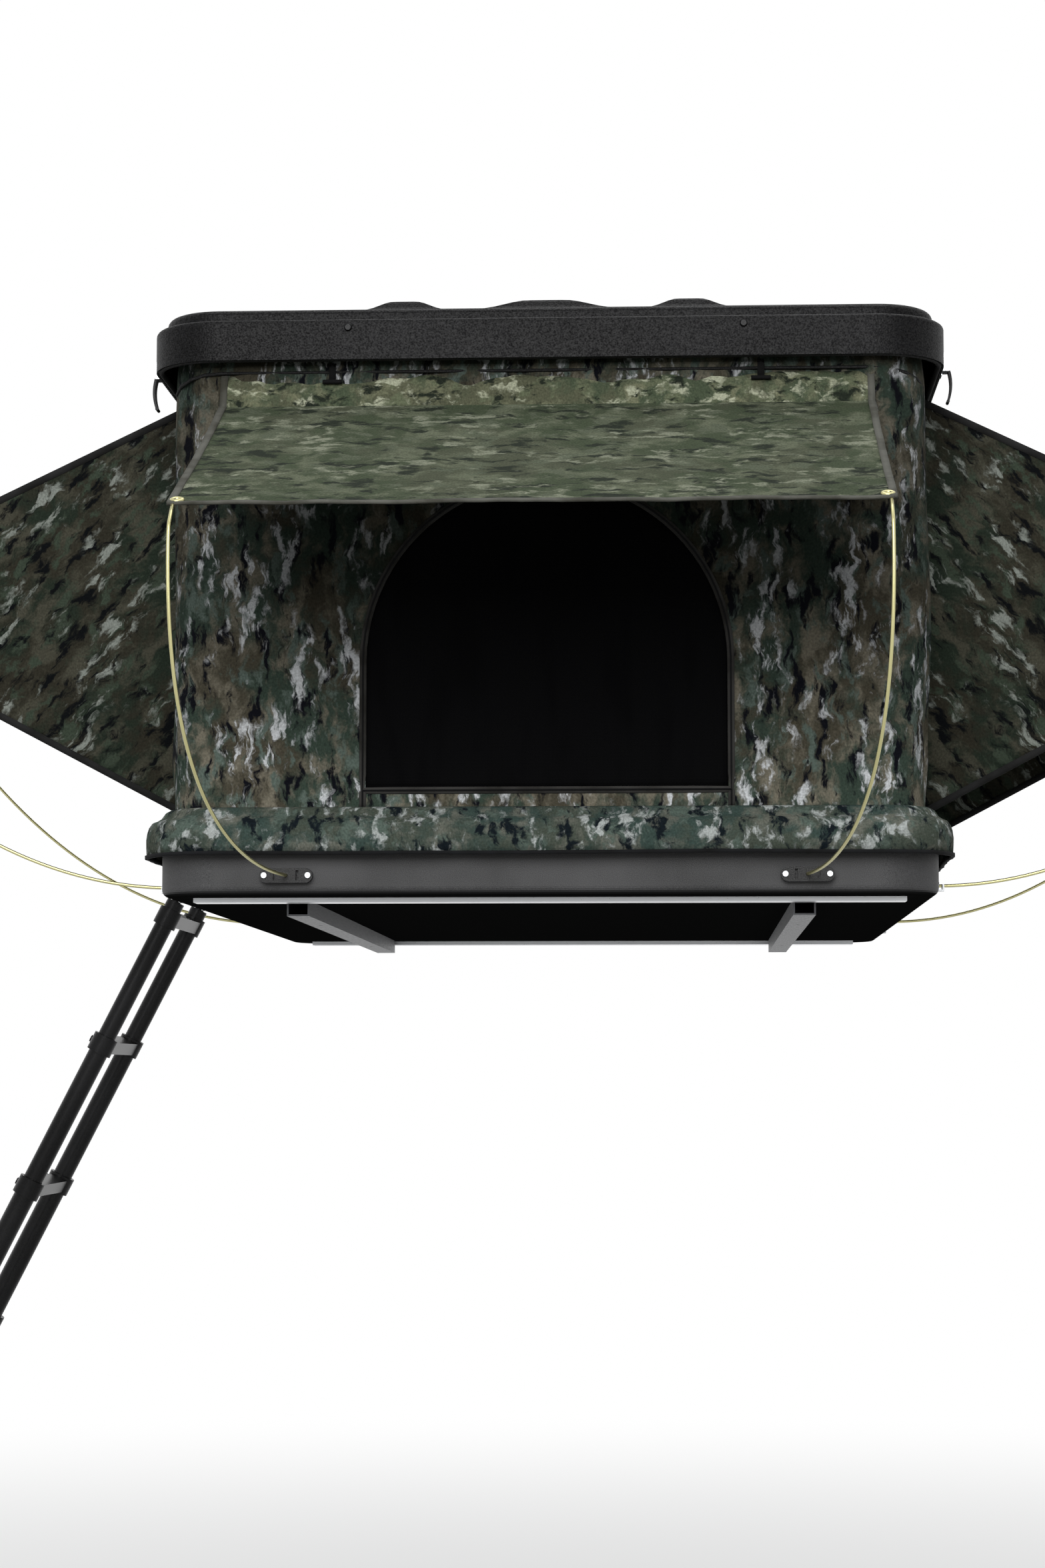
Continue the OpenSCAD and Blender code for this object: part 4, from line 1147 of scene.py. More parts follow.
    def door_roll(self) -> Object:
        """Returns: the left door's screen, rolled down and tied with two straps."""
        low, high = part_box("door_roll")
        r, middle = (high.x - low.x) / 2, (low + high) / 2
        steps, sides = 60, 24
        mesh, rows = Mesh(), []
        for i in range(steps + 1):
            t = i / steps
            y = low.y + (high.y - low.y) * t
            by_tie, by_end = min(abs(t - tie) for tie in self.roll_ties), min(t, 1 - t)
            waist = self.roll_waist * (1 - smooth(by_tie, 0.0, self.roll_draw[0]))
            taper = self.roll_taper * (1 - smooth(by_end, 0.0, self.roll_draw[1]))
            size = self.roll_full - waist - taper
            row = []
            for k, (a, b) in enumerate(circle(1.0, sides)):
                bulge = r * (size + self.roll_rumple.at(y, a, b))
                around = k / sides * self.roll_girth
                row.append(((middle.x + bulge * a, y, middle.z + bulge * b), (around, y)))
            rows.append(row)
        mesh.grid(rows, closed=True)
        for row in (rows[0], rows[-1]):
            centre = (middle.x, row[0][0][1], middle.z)
            mesh.grid([row, [(centre, flat) for _, flat in row]], closed=True)
        for t in self.roll_ties:
            y = low.y + (high.y - low.y) * t
            ring = [(middle.x + a, y, middle.z + b) for a, b in circle(r * self.roll_strap, sides)]
            mesh.sweep(ring, strip(*self.roll_tie), ALONG, True, 1)
        obj = mount(mesh.build("rolled_door", [SCREEN, STRAP]), "base", "mesh", "door_roll")
        return obj

    def tuck_cord(self) -> Object:
        """Returns: the elastic tuck cord, high across the ends and low along the sides."""
        low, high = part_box("tuck_cord")
        top, bottom = high.z - self.cord, low.z + self.cord
        radius = high.x - self.cord - self.outline.corner_x
        outline = Outline(self.outline.corner_x, self.outline.corner_y, radius)
        path, steps = [], 220
        for j in range(steps):
            p, out, near = outline.at(outline.length * j / steps)
            share = 1.0
            if abs(out.x) > 0.999:
                share = self.cord_corner * (1 - smooth(near, 0.0, self.cord_run))
            elif abs(out.y) < 0.999:
                turned = math.asin(abs(out.y)) / (math.pi / 2)
                share = self.cord_corner + (1 - self.cord_corner) * turned
            path.append((p.x, p.y, bottom + (top - bottom) * smooth(share, 0, 1)))
        mesh = Mesh()
        mesh.tube(path, self.cord, UP, True, 8)
        return self.fold(mount(mesh.build("elastic_cord", [RUBBER]), "base", "seal_rubber", "tuck_cord"))

    def build(self) -> None:
        """Makes every piece of the walls."""
        for piece in (self.walls, self.screens, self.zips, self.door_roll, self.tuck_cord):
            piece()


@dataclass
class Skirt:
    """Cloth apron that bulges over the tray's rim.

    Args:
        corner_x: X of the corner centres.
        corner_y: Y of the corner centres.
        corner: radius of the outline that it is measured on.
        columns: columns round the tent.
        canvas: thickness of the cloth.
        cut: height of its seam on the flat cloth.
        waves: broad waves of its free edge.
        tucks: short folds below the seam.
        drops: rise and fall of its hem.
        slack: how far its free edge may stand out.
        lift: how far its free edge is lifted.
        free_rows: rows between which it comes free of the tray.
        tuck_rows: rows between which the tucks set in.
        drop_rows: rows between which its hem's rise and fall sets in.
    """

    corner_x: float = 0.576
    corner_y: float = 0.945
    corner: float = 0.105
    columns: int = 420
    canvas: float = 0.0016
    cut: float = 2.0
    waves: Folds = Folds((6.5, 3.3, 0.05), 0.006)
    tucks: Folds = Folds((24, 7.7, 0.2), 0.003)
    drops: Folds = Folds((2.6, 1.1, 0), 0.003)
    slack: float = 0.003
    lift: float = 0.002
    free_rows: tuple[int, int] = (3, 10)
    tuck_rows: tuple[int, int] = (1, 5)
    drop_rows: tuple[int, int] = (6, 10)

    def profile(self) -> list[tuple[float, float]]:
        """Returns: its section from the seam to the hem, as distance from the corner centres and height."""
        low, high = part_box("skirt")
        reach, seam, rim = high.x - self.corner_x, high.z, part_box("base_tray")[1].z
        under_seam = [(0.0836, seam), (0.0920, seam - 0.0010), (0.1000, seam - 0.0055)]
        over_rim = [(0.1070, rim + 0.0125), (0.1150, rim + 0.0070), (0.1230, rim + 0.0035)]
        turn = [(reach - 0.0055, rim - 0.0045), (reach - 0.0020, rim - 0.0140), (reach, rim - 0.0270)]
        return under_seam + over_rim + turn + [(reach - 0.0005, rim - 0.0410), (reach - 0.0020, low.z)]

    def knot(self, outline: Outline, run: float, k: int, place: Point, down: float) -> Knot:
        """Reads the cloth.

        Args:
            outline: outline that it is measured on.
            run: distance along the outline.
            k: row, from the seam down.
            place: the row's place in the profile.
            down: distance from the seam along the cloth.

        Returns:
            The point and its place on the flat cloth.
        """
        p, out, _ = outline.at(run)
        free = smooth(k, *self.free_rows)
        wave = self.waves.at(run, 1, k) * free + self.tucks.at(run, 1, k) * smooth(k, *self.tuck_rows)
        drop = self.drops.at(run, 1) * smooth(k, *self.drop_rows)
        q = p + out * (place[0] - self.corner + min(wave, self.slack * free))
        return (q.x, q.y, place[1] - drop + self.lift * free), (run, self.cut - down)

    def build(self) -> Object:
        """Returns: the skirt with its bound hem."""
        profile, outline = self.profile(), Outline(self.corner_x, self.corner_y, self.corner)
        runs = [outline.length * j / self.columns for j in range(self.columns + 1)]
        rows, down = [], 0.0
        for k, place in enumerate(profile):
            down += math.dist(place, profile[k - 1]) if k else 0.0
            rows.append([self.knot(outline, run, k, place, down) for run in runs])
        mesh = Mesh()
        mesh.grid(rows[::-1])
        cloth = [[knot[0] for knot in row] for row in rows]
        mesh.sweep(cloth[-1][:-1], strip(0.0022, 0.002, 0.002), UP, True, 1)
        obj = mesh.build("apron", [SKIRT_CANVAS, HEM_TAPE], self.canvas)
        mount(obj, "base", "camouflage_cloth", "skirt")
        return obj


def bezier(a: Vector, b: Vector, c: Vector, d: Vector, t: float) -> Vector:
    """Returns: the point at a share t of a cubic curve from a to d with the control points b and c."""
    s = 1 - t
    return a * s**3 + b * (3 * t * s * s) + c * (3 * t * t * s) + d * t**3


@dataclass
class SprungRod:
    """A sprung rod from its socket to an awning's corner.

    Args:
        foot: point in the socket.
        out: direction out of the socket.
        tip: the rod's end in the corner's eyelet.
        low: share of the reach that the first control point takes.
        high: shares of reach and rise that the second one takes.
        straight: length of its straight foot.
        hook: reach of the hook at its tip.
        crook: share of the hook that its round bend takes.
        bow_steps: steps along its bow.
        crook_steps: steps round its bend.
    """

    foot: Vector
    out: Vector
    tip: Vector
    low: float
    high: tuple[float, float]
    straight: float = 0.016
    hook: float = 0.038
    crook: float = 0.3
    bow_steps: int = 36
    crook_steps: int = 4

    def path(self) -> list[Vector]:
        """Returns: the rod's centre line, with the hook at its tip."""
        start = self.foot + self.out * self.straight
        bend = self.tip + (self.out - Vector(UP)) * self.hook
        reach = Vector((bend.x - start.x, bend.y - start.y, 0))
        rise = Vector((0, 0, bend.z - start.z))
        b, c = start + reach * self.low, start + reach * self.high[0] + rise * self.high[1]
        bow, steps = self.bow_steps, self.crook_steps
        curve = [bezier(start, b, c, bend, i / bow) for i in range(bow)]
        into = bend + (self.tip - bend) * self.crook
        turn = [bezier(curve[-1], bend, bend, into, i / steps) for i in range(1, steps)]
        return [self.foot, *curve, *turn, bend + (self.tip - bend) * 0.5, self.tip]


@dataclass
class Awning:
    """Cloth panel on two sprung rods; the real awning folds away under the shell.

    Args:
        place: the end or side of the tent that it shades.
        socket: distance of the rod sockets from the tent's middle.
        low: first control point of the rods.
        high: second control point of the rods.
        socket_z: height of the sockets.
        socket_depth: how far the rods stand in their sockets.
        rod: radius of the rods.
        canvas: thickness of the cloth.
        inset: distance of the rods' tips from the cloth's edges.
        poke: how far the tips come through the cloth.
        eyelet: radius of the eyelets.
        eyelet_wire: radius of their rims.
        eyelet_u: their place across the cloth, from 0 in the middle to 1 at the edge.
        tuck: how far above the hinge line it is stowed; not used.
        keep: share of its reach that is left when stowed; not used.
        lowest: how far its lowest points stay above those of their solids.
    """

    place: End | Side
    socket: float
    low: float
    high: tuple[float, float]
    socket_z: float = 0.061
    socket_depth: float = 0.0115
    rod: float = 0.003
    canvas: float = 0.0014
    inset: float = 0.006
    poke: float = 0.003
    eyelet: float = 0.0085
    eyelet_wire: float = 0.0024
    eyelet_u: float = 0.985
    tuck: float = 0.088
    keep: float = 0.03
    lowest: float = 0.001

    def __post_init__(self) -> None:
        """Reads the awning's place from the frame."""
        self.name, self.sign = self.place.name.lower(), self.place.value
        across, along = (ALONG, ACROSS) if isinstance(self.place, End) else (ACROSS, ALONG)
        self.out, self.along = Vector(across) * self.sign, Vector(along)
        low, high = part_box(f"{self.name}_flap")
        near, far = (low, high) if self.sign > 0 else (high, low)
        self.half = high.dot(self.along)
        self.root = self.out * self.out.dot(near) + Vector((0, 0, high.z))
        self.hem = self.out * self.out.dot(far) + Vector((0, 0, low.z + self.lowest))
        self.fall = (self.hem - self.root).normalized()

    def stow(self, obj: Object, slot: str, node: str) -> Object:
        """Puts a piece on the awning's body and gives it a mesh of its own.

        Args:
            obj: the piece.
            slot: material slot in the record.
            node: solid that it stands for.

        Returns:
            The piece.
        """
        mount(obj, f"awning_{self.name}", slot, node)
        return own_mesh(obj)

    def surface(self, u: float, v: float) -> Vector:
        """Returns: the cloth's point at a share u of its half width and a row v, counted from its root."""
        raise NotImplementedError

    def panel(
        self, us: Point, vs: Point, flats: Point, finish: Callable[[int], int] | None = None
    ) -> Mesh:
        """Lays the cloth.

        Args:
            us: columns, from -1 to 1.
            vs: rows, from the root to the hem.
            flats: distance of each row from the root along the cloth.
            finish: gives the material index of a row.

        Returns:
            The mesh, facing up.
        """
        rows = [[(self.surface(u, v), (u * self.half, flat)) for u in us] for v, flat in zip(vs, flats)]
        if self.out.cross(self.along).z < 0:
            rows = [row[::-1] for row in rows]
        mesh = Mesh()
        mesh.grid(rows[::-1], finish=finish)
        return mesh

    def eyelets(self, mesh: Mesh, v: float, normal: Vector, lift: float, finish: int) -> None:
        """Adds the eyelets at the hem's corners.

        Args:
            mesh: mesh that gets them.
            v: their row.
            normal: direction through them.
            lift: how far above the cloth they sit.
            finish: material index.
        """
        side = normal.orthogonal().normalized()
        other = normal.cross(side)
        for u in (-self.eyelet_u, self.eyelet_u):
            centre = self.surface(u, v) + Vector((0, 0, lift))
            ring = [centre + side * a + other * b for a, b in circle(self.eyelet, 20)]
            mesh.tube(ring, self.eyelet_wire, normal, True, 8, finish)

    def rods(self) -> Object:
        """Returns: the awning's two rods."""
        mesh = Mesh()
        face = abs(self.out.dot(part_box("rod_sockets")[1])) - self.socket_depth
        for s in (-1, 1):
            foot = self.out * face + self.along * (s * self.socket) + Vector((0, 0, self.socket_z))
            corner = self.hem + self.along * (s * (self.half - self.inset))
            tip = corner + (self.out - Vector(UP)) * self.poke
            rod = SprungRod(foot, self.out, tip, self.low, self.high)
            mesh.tube(rod.path(), self.rod, self.along)
        return self.stow(mesh.build(f"{self.name}_awning_rods", [BRASS]), "rod_brass", f"{self.name}_rods")


@dataclass
class EndAwning(Awning):
    """Front or rear awning: steep strip, main panel, bound edges, eyelets and strap toggles.

    Args:
        strip_drop: depth of the steep strip.
        strip_lean: how far the strip leans out, as a share of its depth.
        sag: sag of the panel.
        edge_hold: how much less it sags at its side edges, as a share.
        puffs: folds of the strip.
        puff_mean: mean puff of the strip, as a share of its folds' depth.
        ripples: waves of the panel.
        ripple_in: how fast the waves set in below the crease.
        ripple_out: share of the waves that is gone at the hem.
        creases: fine folds of the panel.
        cloth_share: share of its solid's width that the cloth takes.
        eyelet_v: row of the eyelets.
        eyelet_lift: how far above the cloth they sit.
        strap_x: distance of the toggles from the middle.
        strap: half the width and half the thickness of the toggles' straps.
        peg: radius of a toggle's peg.
        peg_ends: where along the peg its ends start and stop, from its middle.
    """

    socket: float = 0.449
    low: float = 0.62
    high: tuple[float, float] = (1.04, 0.28)
    strip_drop: float = 0.058
    strip_lean: float = 0.36
    sag: float = 0.0096
    edge_hold: float = 0.45
    puffs: Folds = Folds((6, 1, 3.3), 0.006)
    puff_mean: float = 0.6
    ripples: Folds = Folds((9, 1.3, 5.1), 0.006)
    ripple_in: float = 1.4
    ripple_out: float = 0.6
    creases: Folds = Folds((3, 6, 8.8), 0.003)
    cloth_share: float = 0.997
    eyelet_v: float = 1.975
    eyelet_lift: float = 0.001
    strap_x: float = 0.375
    strap: tuple[float, float] = (0.006, 0.0009)
    peg: float = 0.0038
    peg_ends: tuple[float, float] = (0.012, 0.017)

    def __post_init__(self) -> None:
        """Adds the crease below the strip."""
        super().__post_init__()
        lean = self.out * self.strip_lean
        self.fold = self.root + (lean - Vector(UP)) * self.strip_drop

    def surface(self, u: float, v: float) -> Vector:
        """Reads the cloth.

        Args:
            u: from -1 at the left edge to 1 at the right.
            v: from 0 at the root over 1 at the crease to 2 at the hem.

        Returns:
            The point.
        """
        if v < 1:
            puff = math.sin(math.pi * v) * (self.puff_mean * self.puffs.depth + self.puffs.at(u, v))
            p = self.root.lerp(self.fold, v) + self.out * puff
        else:
            v -= 1
            arc = math.sin(math.pi * v)
            sag = self.sag * arc * (1 - self.edge_hold * u * u)
            ripple = self.ripples.at(u, v) * math.sin(math.pi * min(1, v * self.ripple_in) / 2)
            rise = -sag + ripple * (1 - self.ripple_out * v) + self.creases.at(u, v) * arc
            p = self.fold.lerp(self.hem, v) + Vector((0, 0, rise))
        p.x = u * self.half * self.cloth_share
        return p

    def flap(self) -> Object:
        """Returns: the awning's cloth with its bindings and eyelets."""
        steep, main = 4, 30
        vs = [i / steep for i in range(steep)] + [1 + i / main for i in range(main + 1)]
        us = [-1 + 2 * i / 90 for i in range(91)]
        flats = [0.0]
        for a, b in zip(vs, vs[1:]):
            flats.append(flats[-1] + (self.surface(0, b) - self.surface(0, a)).length)
        mesh = self.panel(us, vs, flats, lambda row: int(row >= main))
        tape = strip(0.0022, 0.005)
        normal = (self.hem - self.fold).normalized().cross(self.along)
        mesh.sweep([self.surface(u, 2) for u in us], [(b, a) for a, b in tape], normal, finish=2)
        for u in (-1, 1):
            mesh.sweep([self.surface(u, v) for v in vs], tape, ACROSS, finish=2)
        self.eyelets(mesh, self.eyelet_v, normal, self.eyelet_lift, 3)
        obj = mesh.build(f"{self.name}_awning", [FLAP_CANVAS, STRIP_CANVAS, PIPING, BRASS], self.canvas)
        self.stow(obj, "camouflage_cloth", f"{self.name}_flap")
        return obj

    def toggles(self) -> Object:
        """Returns: the strap toggles over the front awning's root."""
        low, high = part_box("flap_toggles")
        mesh, y, foot = Mesh(), low.y + 0.005, low.z + 0.004
        start, tip = self.peg_ends
        # A strap's way over the awning's root and down to its peg, as Y and Z.
        line = [(high.y, high.z - 0.001), (low.y + 0.008, high.z - 0.002), (y, high.z - 0.009), (y, foot)]
        for x in (-self.strap_x, self.strap_x):
            mesh.sweep([(x, *place) for place in line], strip(*self.strap), (0, 0.7, 0.7))
            mesh.tube([(x + d, y, foot) for d in (-tip, -start, start, tip)], self.peg, UP)
        return self.stow(mesh.build("awning_toggles", [STRAP]), "seal_rubber", "flap_toggles")

    def build(self) -> None:
        """Makes every piece of the awning."""
        self.rods()
        self.flap()
        if self.place is End.FRONT:
            self.toggles()


@dataclass
class SideAwning(Awning):
    """Left or right awning: panel, two gussets, bound edges, eyelets and rods.

    Args:
        sag: sag of the panel.
        ripples: waves of the panel.
        ripple_start: where in the noise field the waves start.
        edge_in: how far the panel's edges lie inside those of its solid.
        eyelet_v: row of the eyelets.
        puffs: folds of the gussets.
        lining: thickness of the gussets.
        gusset_out: distance of the gussets outside the solid's edges.
        tape: half the width and half the thickness of the gussets' tapes.
        tape_gap: how far the tapes stay from the gussets' corners, as a share.
    """

    socket: float = 0.690
    low: float = 0.36
    high: tuple[float, float] = (0.7, 0.33)
    sag: float = 0.014
    ripples: Folds = Folds((8, 1.6, 1), 0.006)
    ripple_start: float = 4.4
    edge_in: float = 0.001
    eyelet_v: float = 0.985
    puffs: Folds = Folds((5, 5, 1), 0.006)
    lining: float = 0.0012
    gusset_out: float = 0.0013
    tape: tuple[float, float] = (0.0055, 0.0016)
    tape_gap: float = 0.004

    def __post_init__(self) -> None:
        """Adds the gussets' lower corner."""
        super().__post_init__()
        self.foot = Vector((self.root.x, 0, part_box(f"{self.name}_gussets")[0].z + self.lowest))

    def surface(self, u: float, v: float) -> Vector:
        """Reads the panel.

        Args:
            u: from -1 at the front edge to 1 at the rear.
            v: from 0 at the root to 1 at the hem.

        Returns:
            The point.
        """
        arc = math.sin(math.pi * v)
        rise = self.ripples.at(u, v, self.ripple_start + self.sign) * arc - self.sag * arc * (1 - u * u)
        p = self.root.lerp(self.hem, v) + Vector((0, 0, rise))
        p.y = u * (self.half - self.edge_in)
        return p

    def flap(self) -> Object:
        """Returns: the panel with its bound hem and eyelets."""
        us, vs = [-1 + 2 * i / 80 for i in range(81)], [i / 40 for i in range(41)]
        reach = (self.hem - self.root).length
        mesh = self.panel(us, vs, [v * reach for v in vs])
        normal = self.fall.cross(self.along)
        mesh.sweep([self.surface(u, 1) for u in us], strip(0.005, 0.0022), normal, finish=1)
        self.eyelets(mesh, self.eyelet_v, normal, 0.0, 2)
        obj = mesh.build(f"{self.name}_awning", [SIDE_CANVAS, BINDING, BRASS], self.canvas)
        self.stow(obj, "camouflage_cloth", f"{self.name}_flap")
        return obj

    def gusset_knot(self, end: End, y: float, i: float, j: float) -> Knot:
        """Reads a gusset.

        Args:
            end: which of the two it is.
            y: its place along the tent.
            i: share of the way from the wall to the hem.
            j: share of the way from the panel down.

        Returns:
            The point and its place on the flat cloth.
        """
        p = self.root.lerp(self.hem, i).lerp(self.foot.lerp(self.hem, i), j)
        slack = math.sin(math.pi * i) * math.sin(math.pi * j)
        puff = self.puffs.at(p.x, p.z, 2 + end.value) * slack
        return (p.x, y - end.value * abs(puff), p.z), (abs(p.x), p.z)

    def gussets(self) -> Object:
        """Returns: the triangles that close the awning's ends, with tape along their edges."""
        mesh = Mesh()
        shares = [i / 30 for i in range(31)]
        taped = [self.tape_gap + (1 - 2 * self.tape_gap) * k / 24 for k in range(25)]
        for end in End:
            y = end.value * (self.half + self.gusset_out)
            rows = [[self.gusset_knot(end, y, i, j) for j in shares] for i in shares]
            mesh.grid(rows if end.value * self.sign > 0 else rows[::-1])
            for top in (self.root, self.foot):
                edge = [top.lerp(self.hem, share) for share in taped]
                mesh.sweep([(p.x, y, p.z) for p in edge], strip(*self.tape), ALONG, finish=1)
        obj = mesh.build(f"{self.name}_awning_gussets", [GUSSET_CANVAS, BINDING], self.lining)
        self.stow(obj, "camouflage_cloth", f"{self.name}_gussets")
        return obj

    def build(self) -> None:
        """Makes every piece of the awning."""
        for piece in (self.rods, self.flap, self.gussets):
            piece()


@dataclass
class Mattress:
    """Crowned foam mattress in a piped cover.

    Args:
        corner: corner radius seen from above.
        draw: how far its sides draw in.
        draw_reach: distance from a corner where they are drawn in fully.
        crown: rise of its middle.
        crown_ring: inset of the ring on its top, and the share of the crown that it has.
        columns: columns round it.
        levels: inset and share of the height of each ring at its sides, from the foot up.
        seam: the ring that the piping follows, and the piping's share of the height.
        piping: radius of the piping.
    """

    corner: float = 0.06
    draw: float = 0.009
    draw_reach: float = 0.35
    crown: float = 0.007
    crown_ring: tuple[float, float] = (0.15, 0.8)
    columns: int = 160
    levels: tuple[tuple[float, float], ...] = (
        (0.014, 0.0), (0.003, 0.16), (0.0, 0.4), (0.0, 0.66), (0.005, 0.88), (0.016, 1.0),
    )
    seam: tuple[int, float] = (4, 0.9)
    piping: float = 0.0032

    def build(self) -> Object:
        """Returns: the mattress."""
        low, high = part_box("mattress")
        thick = high.z - low.z - self.crown
        outline = Outline(high.x - self.corner, high.y - self.corner, self.corner)
        rings = [(inset, low.z + thick * share) for inset, share in self.levels]
        inset, share = self.crown_ring
        rings.append((inset, low.z + thick + self.crown * share))
        mesh, rows = Mesh(), []
        for inset, z in rings:
            row = []
            for j in range(self.columns):
                p, out, near = outline.at(outline.length * j / self.columns)
                q = p - out * (self.draw * smooth(near, 0.0, self.draw_reach) + inset)
                row.append(((q.x, q.y, z), (q.x, q.y)))
            rows.append(row)
        top, foot = ([((0, 0, z), (0, 0))] * self.columns for z in (high.z, low.z))
        mesh.grid([*rows, top], closed=True)
        mesh.grid([rows[0][::-1], foot], closed=True)
        ring, share = self.seam
        line = [(p[0], p[1], low.z + thick * share) for p, _ in rows[ring]]
        mesh.tube(line, self.piping, UP, True, 8, 1)
        obj = mount(mesh.build("foam_mattress", [TICKING, STRAP]), "base", "mattress_cloth", "mattress")
        return obj


@dataclass
class LadderLocks:
    """Release buttons on the ladder's collars.

    Args:
        lean: lean of the ladder.
        pitch: distance between rungs.
        bolt: length of a pivot bolt over its heads.
        below: distance of the buttons from a collar's upper end.
        button: radius of a button.
        stroke: how far a button stands out.
        rim: height of a button's rim.
        inward: distance of the buttons from the rail's middle, in collar radii.
        sunk: how deep the buttons start, in collar radii.
    """

    lean: float = math.radians(27)
    pitch: float = 0.3
    bolt: float = 0.0396
    below: float = 0.017
    button: float = 0.0065
    stroke: float = 0.0035
    rim: float = 0.0005
    inward: float = 0.35
    sunk: float = 0.8

    def build(self) -> None:
        """Makes two buttons for each sliding section."""
        low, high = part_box("ladder_bolts")
        pivot, rail = (low + high) / 2, (high.y - low.y - self.bolt) / 2
        turn = Euler((0, self.lean, 0)).to_matrix()
        face, down = turn @ Vector((-1, 0, 0)), turn @ Vector((0, 0, -1))
        for k in range(2, LADDER_SECTIONS + 1):
            low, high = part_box(f"ladder_section_{k}")
            collar = (high.y - low.y) / 2 - rail
            middle = pivot + down * (self.pitch * (k - 1) + self.below)
            mesh = Mesh()
            for y in (-1, 1):
                at = middle + Vector((0, y * (rail - collar * self.inward), 0))
                top = collar + self.stroke
                ends = (collar * self.sunk, top - self.rim, top)
                mesh.tube([at + face * d for d in ends], self.button, ALONG, False, 16)
            mount(mesh.build(f"ladder_buttons_{k}", [BLACK_PLASTIC]), f"ladder_{k}", "black_plastic")


def paint_frame() -> None:
    """Gives every solid that still shows its finish."""
    sides = [side.name.lower() for side in Side]
    latches = [f"latch_{end.name.lower()}_{side}" for end in End for side in sides]
    bars = [f"{bar}_{side}" for bar in ("base_arm", "shell_arm", "strut_tube") for side in sides]
    brackets = ["ladder_bracket", "base_arm_brackets", "strut_brackets", "shell_arm_brackets"]
    fittings = ["latch_keepers", "latch_plates", "ladder_bolts", "socket_screws"]
    finishes = {
        SHELL: ["top_shell"],
        TRAY: ["base_tray"],
        BLACK_PLASTIC: ["rod_sockets"],
        PLYWOOD: ["floor_panel"],
        LINING: ["headliner"],
        RUBBER: ["rim_seal", "ladder_feet"],
        ALLOY: ["cross_members", "base_tracks", "shell_tracks", "wall_frame"],
        # Painted shade: the mount rails get the dark grey copy of the alloy.
        RAIL_ALLOY: ["mount_rails"],
        ZINC: brackets + fittings + [f"strut_rod_{side}" for side in sides],
        POWDER_COAT: latches + bars + ["shell_screws"],
        ANODISED: [f"ladder_section_{k}" for k in range(1, LADDER_SECTIONS + 1)],
    }
    for finish, nodes in finishes.items():
        for name in nodes:
            obj = frame["nodes"][name]
            obj.data.materials.clear()
            obj.data.materials.append(material(finish))
            log.info("%s in %s", name, finish.name)


@dataclass(frozen=True)
class SoftBox:
    """A square lamp with a soft face.

    Args:
        name: its name.
        place: where it stands.
        target: where it points.
        size: side of its face.
        power: its power in watts.
    """

    name: str
    place: tuple[float, float, float]
    target: tuple[float, float, float]
    size: float
    power: float

    def build(self) -> None:
        """Adds the lamp to the set."""
        data = bpy.data.lights.new(self.name, "AREA")
        data.size = self.size
        data.energy = self.power
        obj = link(self.name, data)
        obj.location = self.place
        obj.rotation_euler = (Vector(self.target) - Vector(self.place)).to_track_quat("-Z", "Y").to_euler()


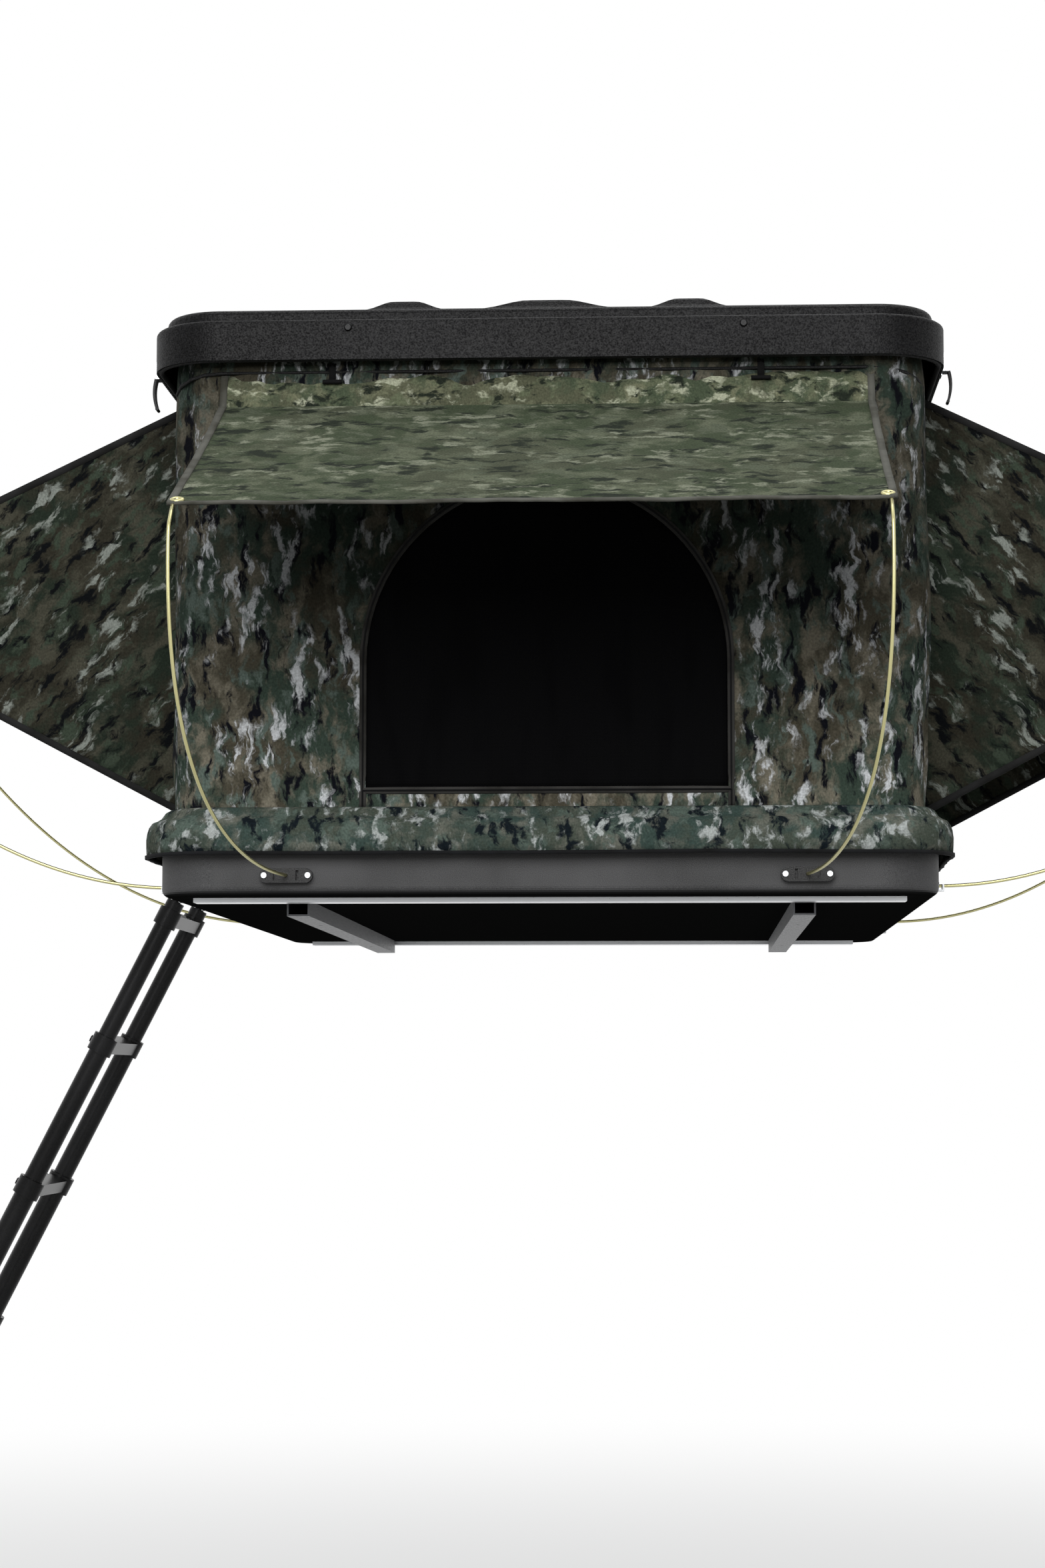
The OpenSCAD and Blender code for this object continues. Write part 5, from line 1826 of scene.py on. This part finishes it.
@dataclass
class Studio:
    """Pale floor, soft light and the camera at the photograph's angle.

    Args:
        floor: floor colour.
        bounce: darker floor colour that lights the object from below.
        pale: share of plain white in the near floor.
        fade: distances over which the floor turns white.
        half: half the width of the floor.
        ambient: strength of the world's light.
        daylight: colour of the world's light.
        lamps: the lamps.
        eye: the camera's place.
        pitch: how far the camera looks up, in degrees.
        yaw: how far it looks to the left, in degrees.
        lens: focal length for a long side of 36 mm.
        sight: how far the camera sees.
    """

    floor: str = "#efefed"
    bounce: str = "#6a6a67"
    pale: float = 0.45
    fade: tuple[float, float] = (3.0, 9.0)
    half: float = 90.0
    ambient: float = 0.5
    daylight: str = "#eef0f2"
    lamps: tuple[SoftBox, ...] = (
        SoftBox("key", (-0.5, -7.0, 2.9), (0, -0.8, 0.5), 4.0, 340),
        SoftBox("fill", (3.5, -7.5, 0.2), (0, -0.8, 0.4), 3.0, 20),
        SoftBox("top", (0.5, 0.5, 6.5), (0, 0, 0.5), 4.0, 110),
    )
    eye: tuple[float, float, float] = (0.238, -6.707, -0.287)
    pitch: float = 5.1
    yaw: float = 2.82
    lens: float = 75.6
    sight: float = 200

    def ground(self) -> None:
        """Lays the floor, which turns white with distance and meets the white world unseen."""
        g = Graph("studio_floor")
        matt = {"Base Color": linear(self.floor), "Roughness": 0.85, "Specular IOR Level": 0.1}
        lit = g.add("BsdfPrincipled", matt)
        dim = g.add("BsdfDiffuse", {"Color": linear(self.bounce)})
        white = g.add("Emission", {"Color": linear("#ffffff"), "Strength": 1.0})
        seen = g.seen()
        near = g.add("MixShader", {0: seen, 1: dim, 2: lit})
        away = g.add("VectorMath", {0: g.add("TexCoord", out="Object")}, "Value", operation="LENGTH")
        reach = {"Value": away, "From Min": self.fade[0], "From Max": self.fade[1], "To Min": self.pale}
        far = g.add("MapRange", reach, interpolation_type="SMOOTHSTEP")
        share = g.add("Math", {0: far, 1: seen}, operation="MULTIPLY")
        both = g.add("MixShader", {0: share, 1: near, 2: white})
        g.add("OutputMaterial", {"Surface": both})
        data = bpy.data.meshes.new("studio_floor")
        corners = [(x, y, CAD_BOX[0].z) for x, y in strip(self.half, self.half)]
        data.from_pydata(corners, [], [(0, 1, 2, 3)])
        data.materials.append(g.owner)
        link("studio_floor", data)

    def sky(self) -> None:
        """Makes the world: soft light on the object, plain white behind it."""
        g = Graph("studio", "worlds")
        light = g.add("Background", {"Color": linear(self.daylight), "Strength": self.ambient})
        white = g.add("Background", {"Color": linear("#ffffff"), "Strength": 1.0})
        both = g.add("MixShader", {0: g.seen(), 1: light, 2: white})
        g.add("OutputWorld", {"Surface": both})
        bpy.context.scene.world = g.owner

    def build(self) -> None:
        """Makes the set, the lamps and the camera."""
        scene = bpy.context.scene
        scene.view_settings.view_transform = "Standard"
        self.sky()
        self.ground()
        for lamp in self.lamps:
            lamp.build()
        data = bpy.data.cameras.new("camera")
        data.lens = self.lens
        data.clip_end = self.sight
        camera = link("camera", data)
        camera.location = self.eye
        camera.rotation_euler = (math.radians(90 + self.pitch), 0.0, math.radians(self.yaw))
        scene.camera = camera


def write_sizes() -> None:
    """Updates the view layer."""
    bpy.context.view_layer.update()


def main() -> None:
    """Builds the tent's looks, piece by piece."""
    logging.basicConfig(level=logging.INFO, format="%(name)s: %(message)s")
    paint_frame()
    TentBody().build()
    Skirt().build()
    for end in End:
        EndAwning(end).build()
    for side in Side:
        SideAwning(side).build()
    Mattress().build()
    LadderLocks().build()
    Studio().build()
    write_sizes()


if __name__ == "__main__":
    main()
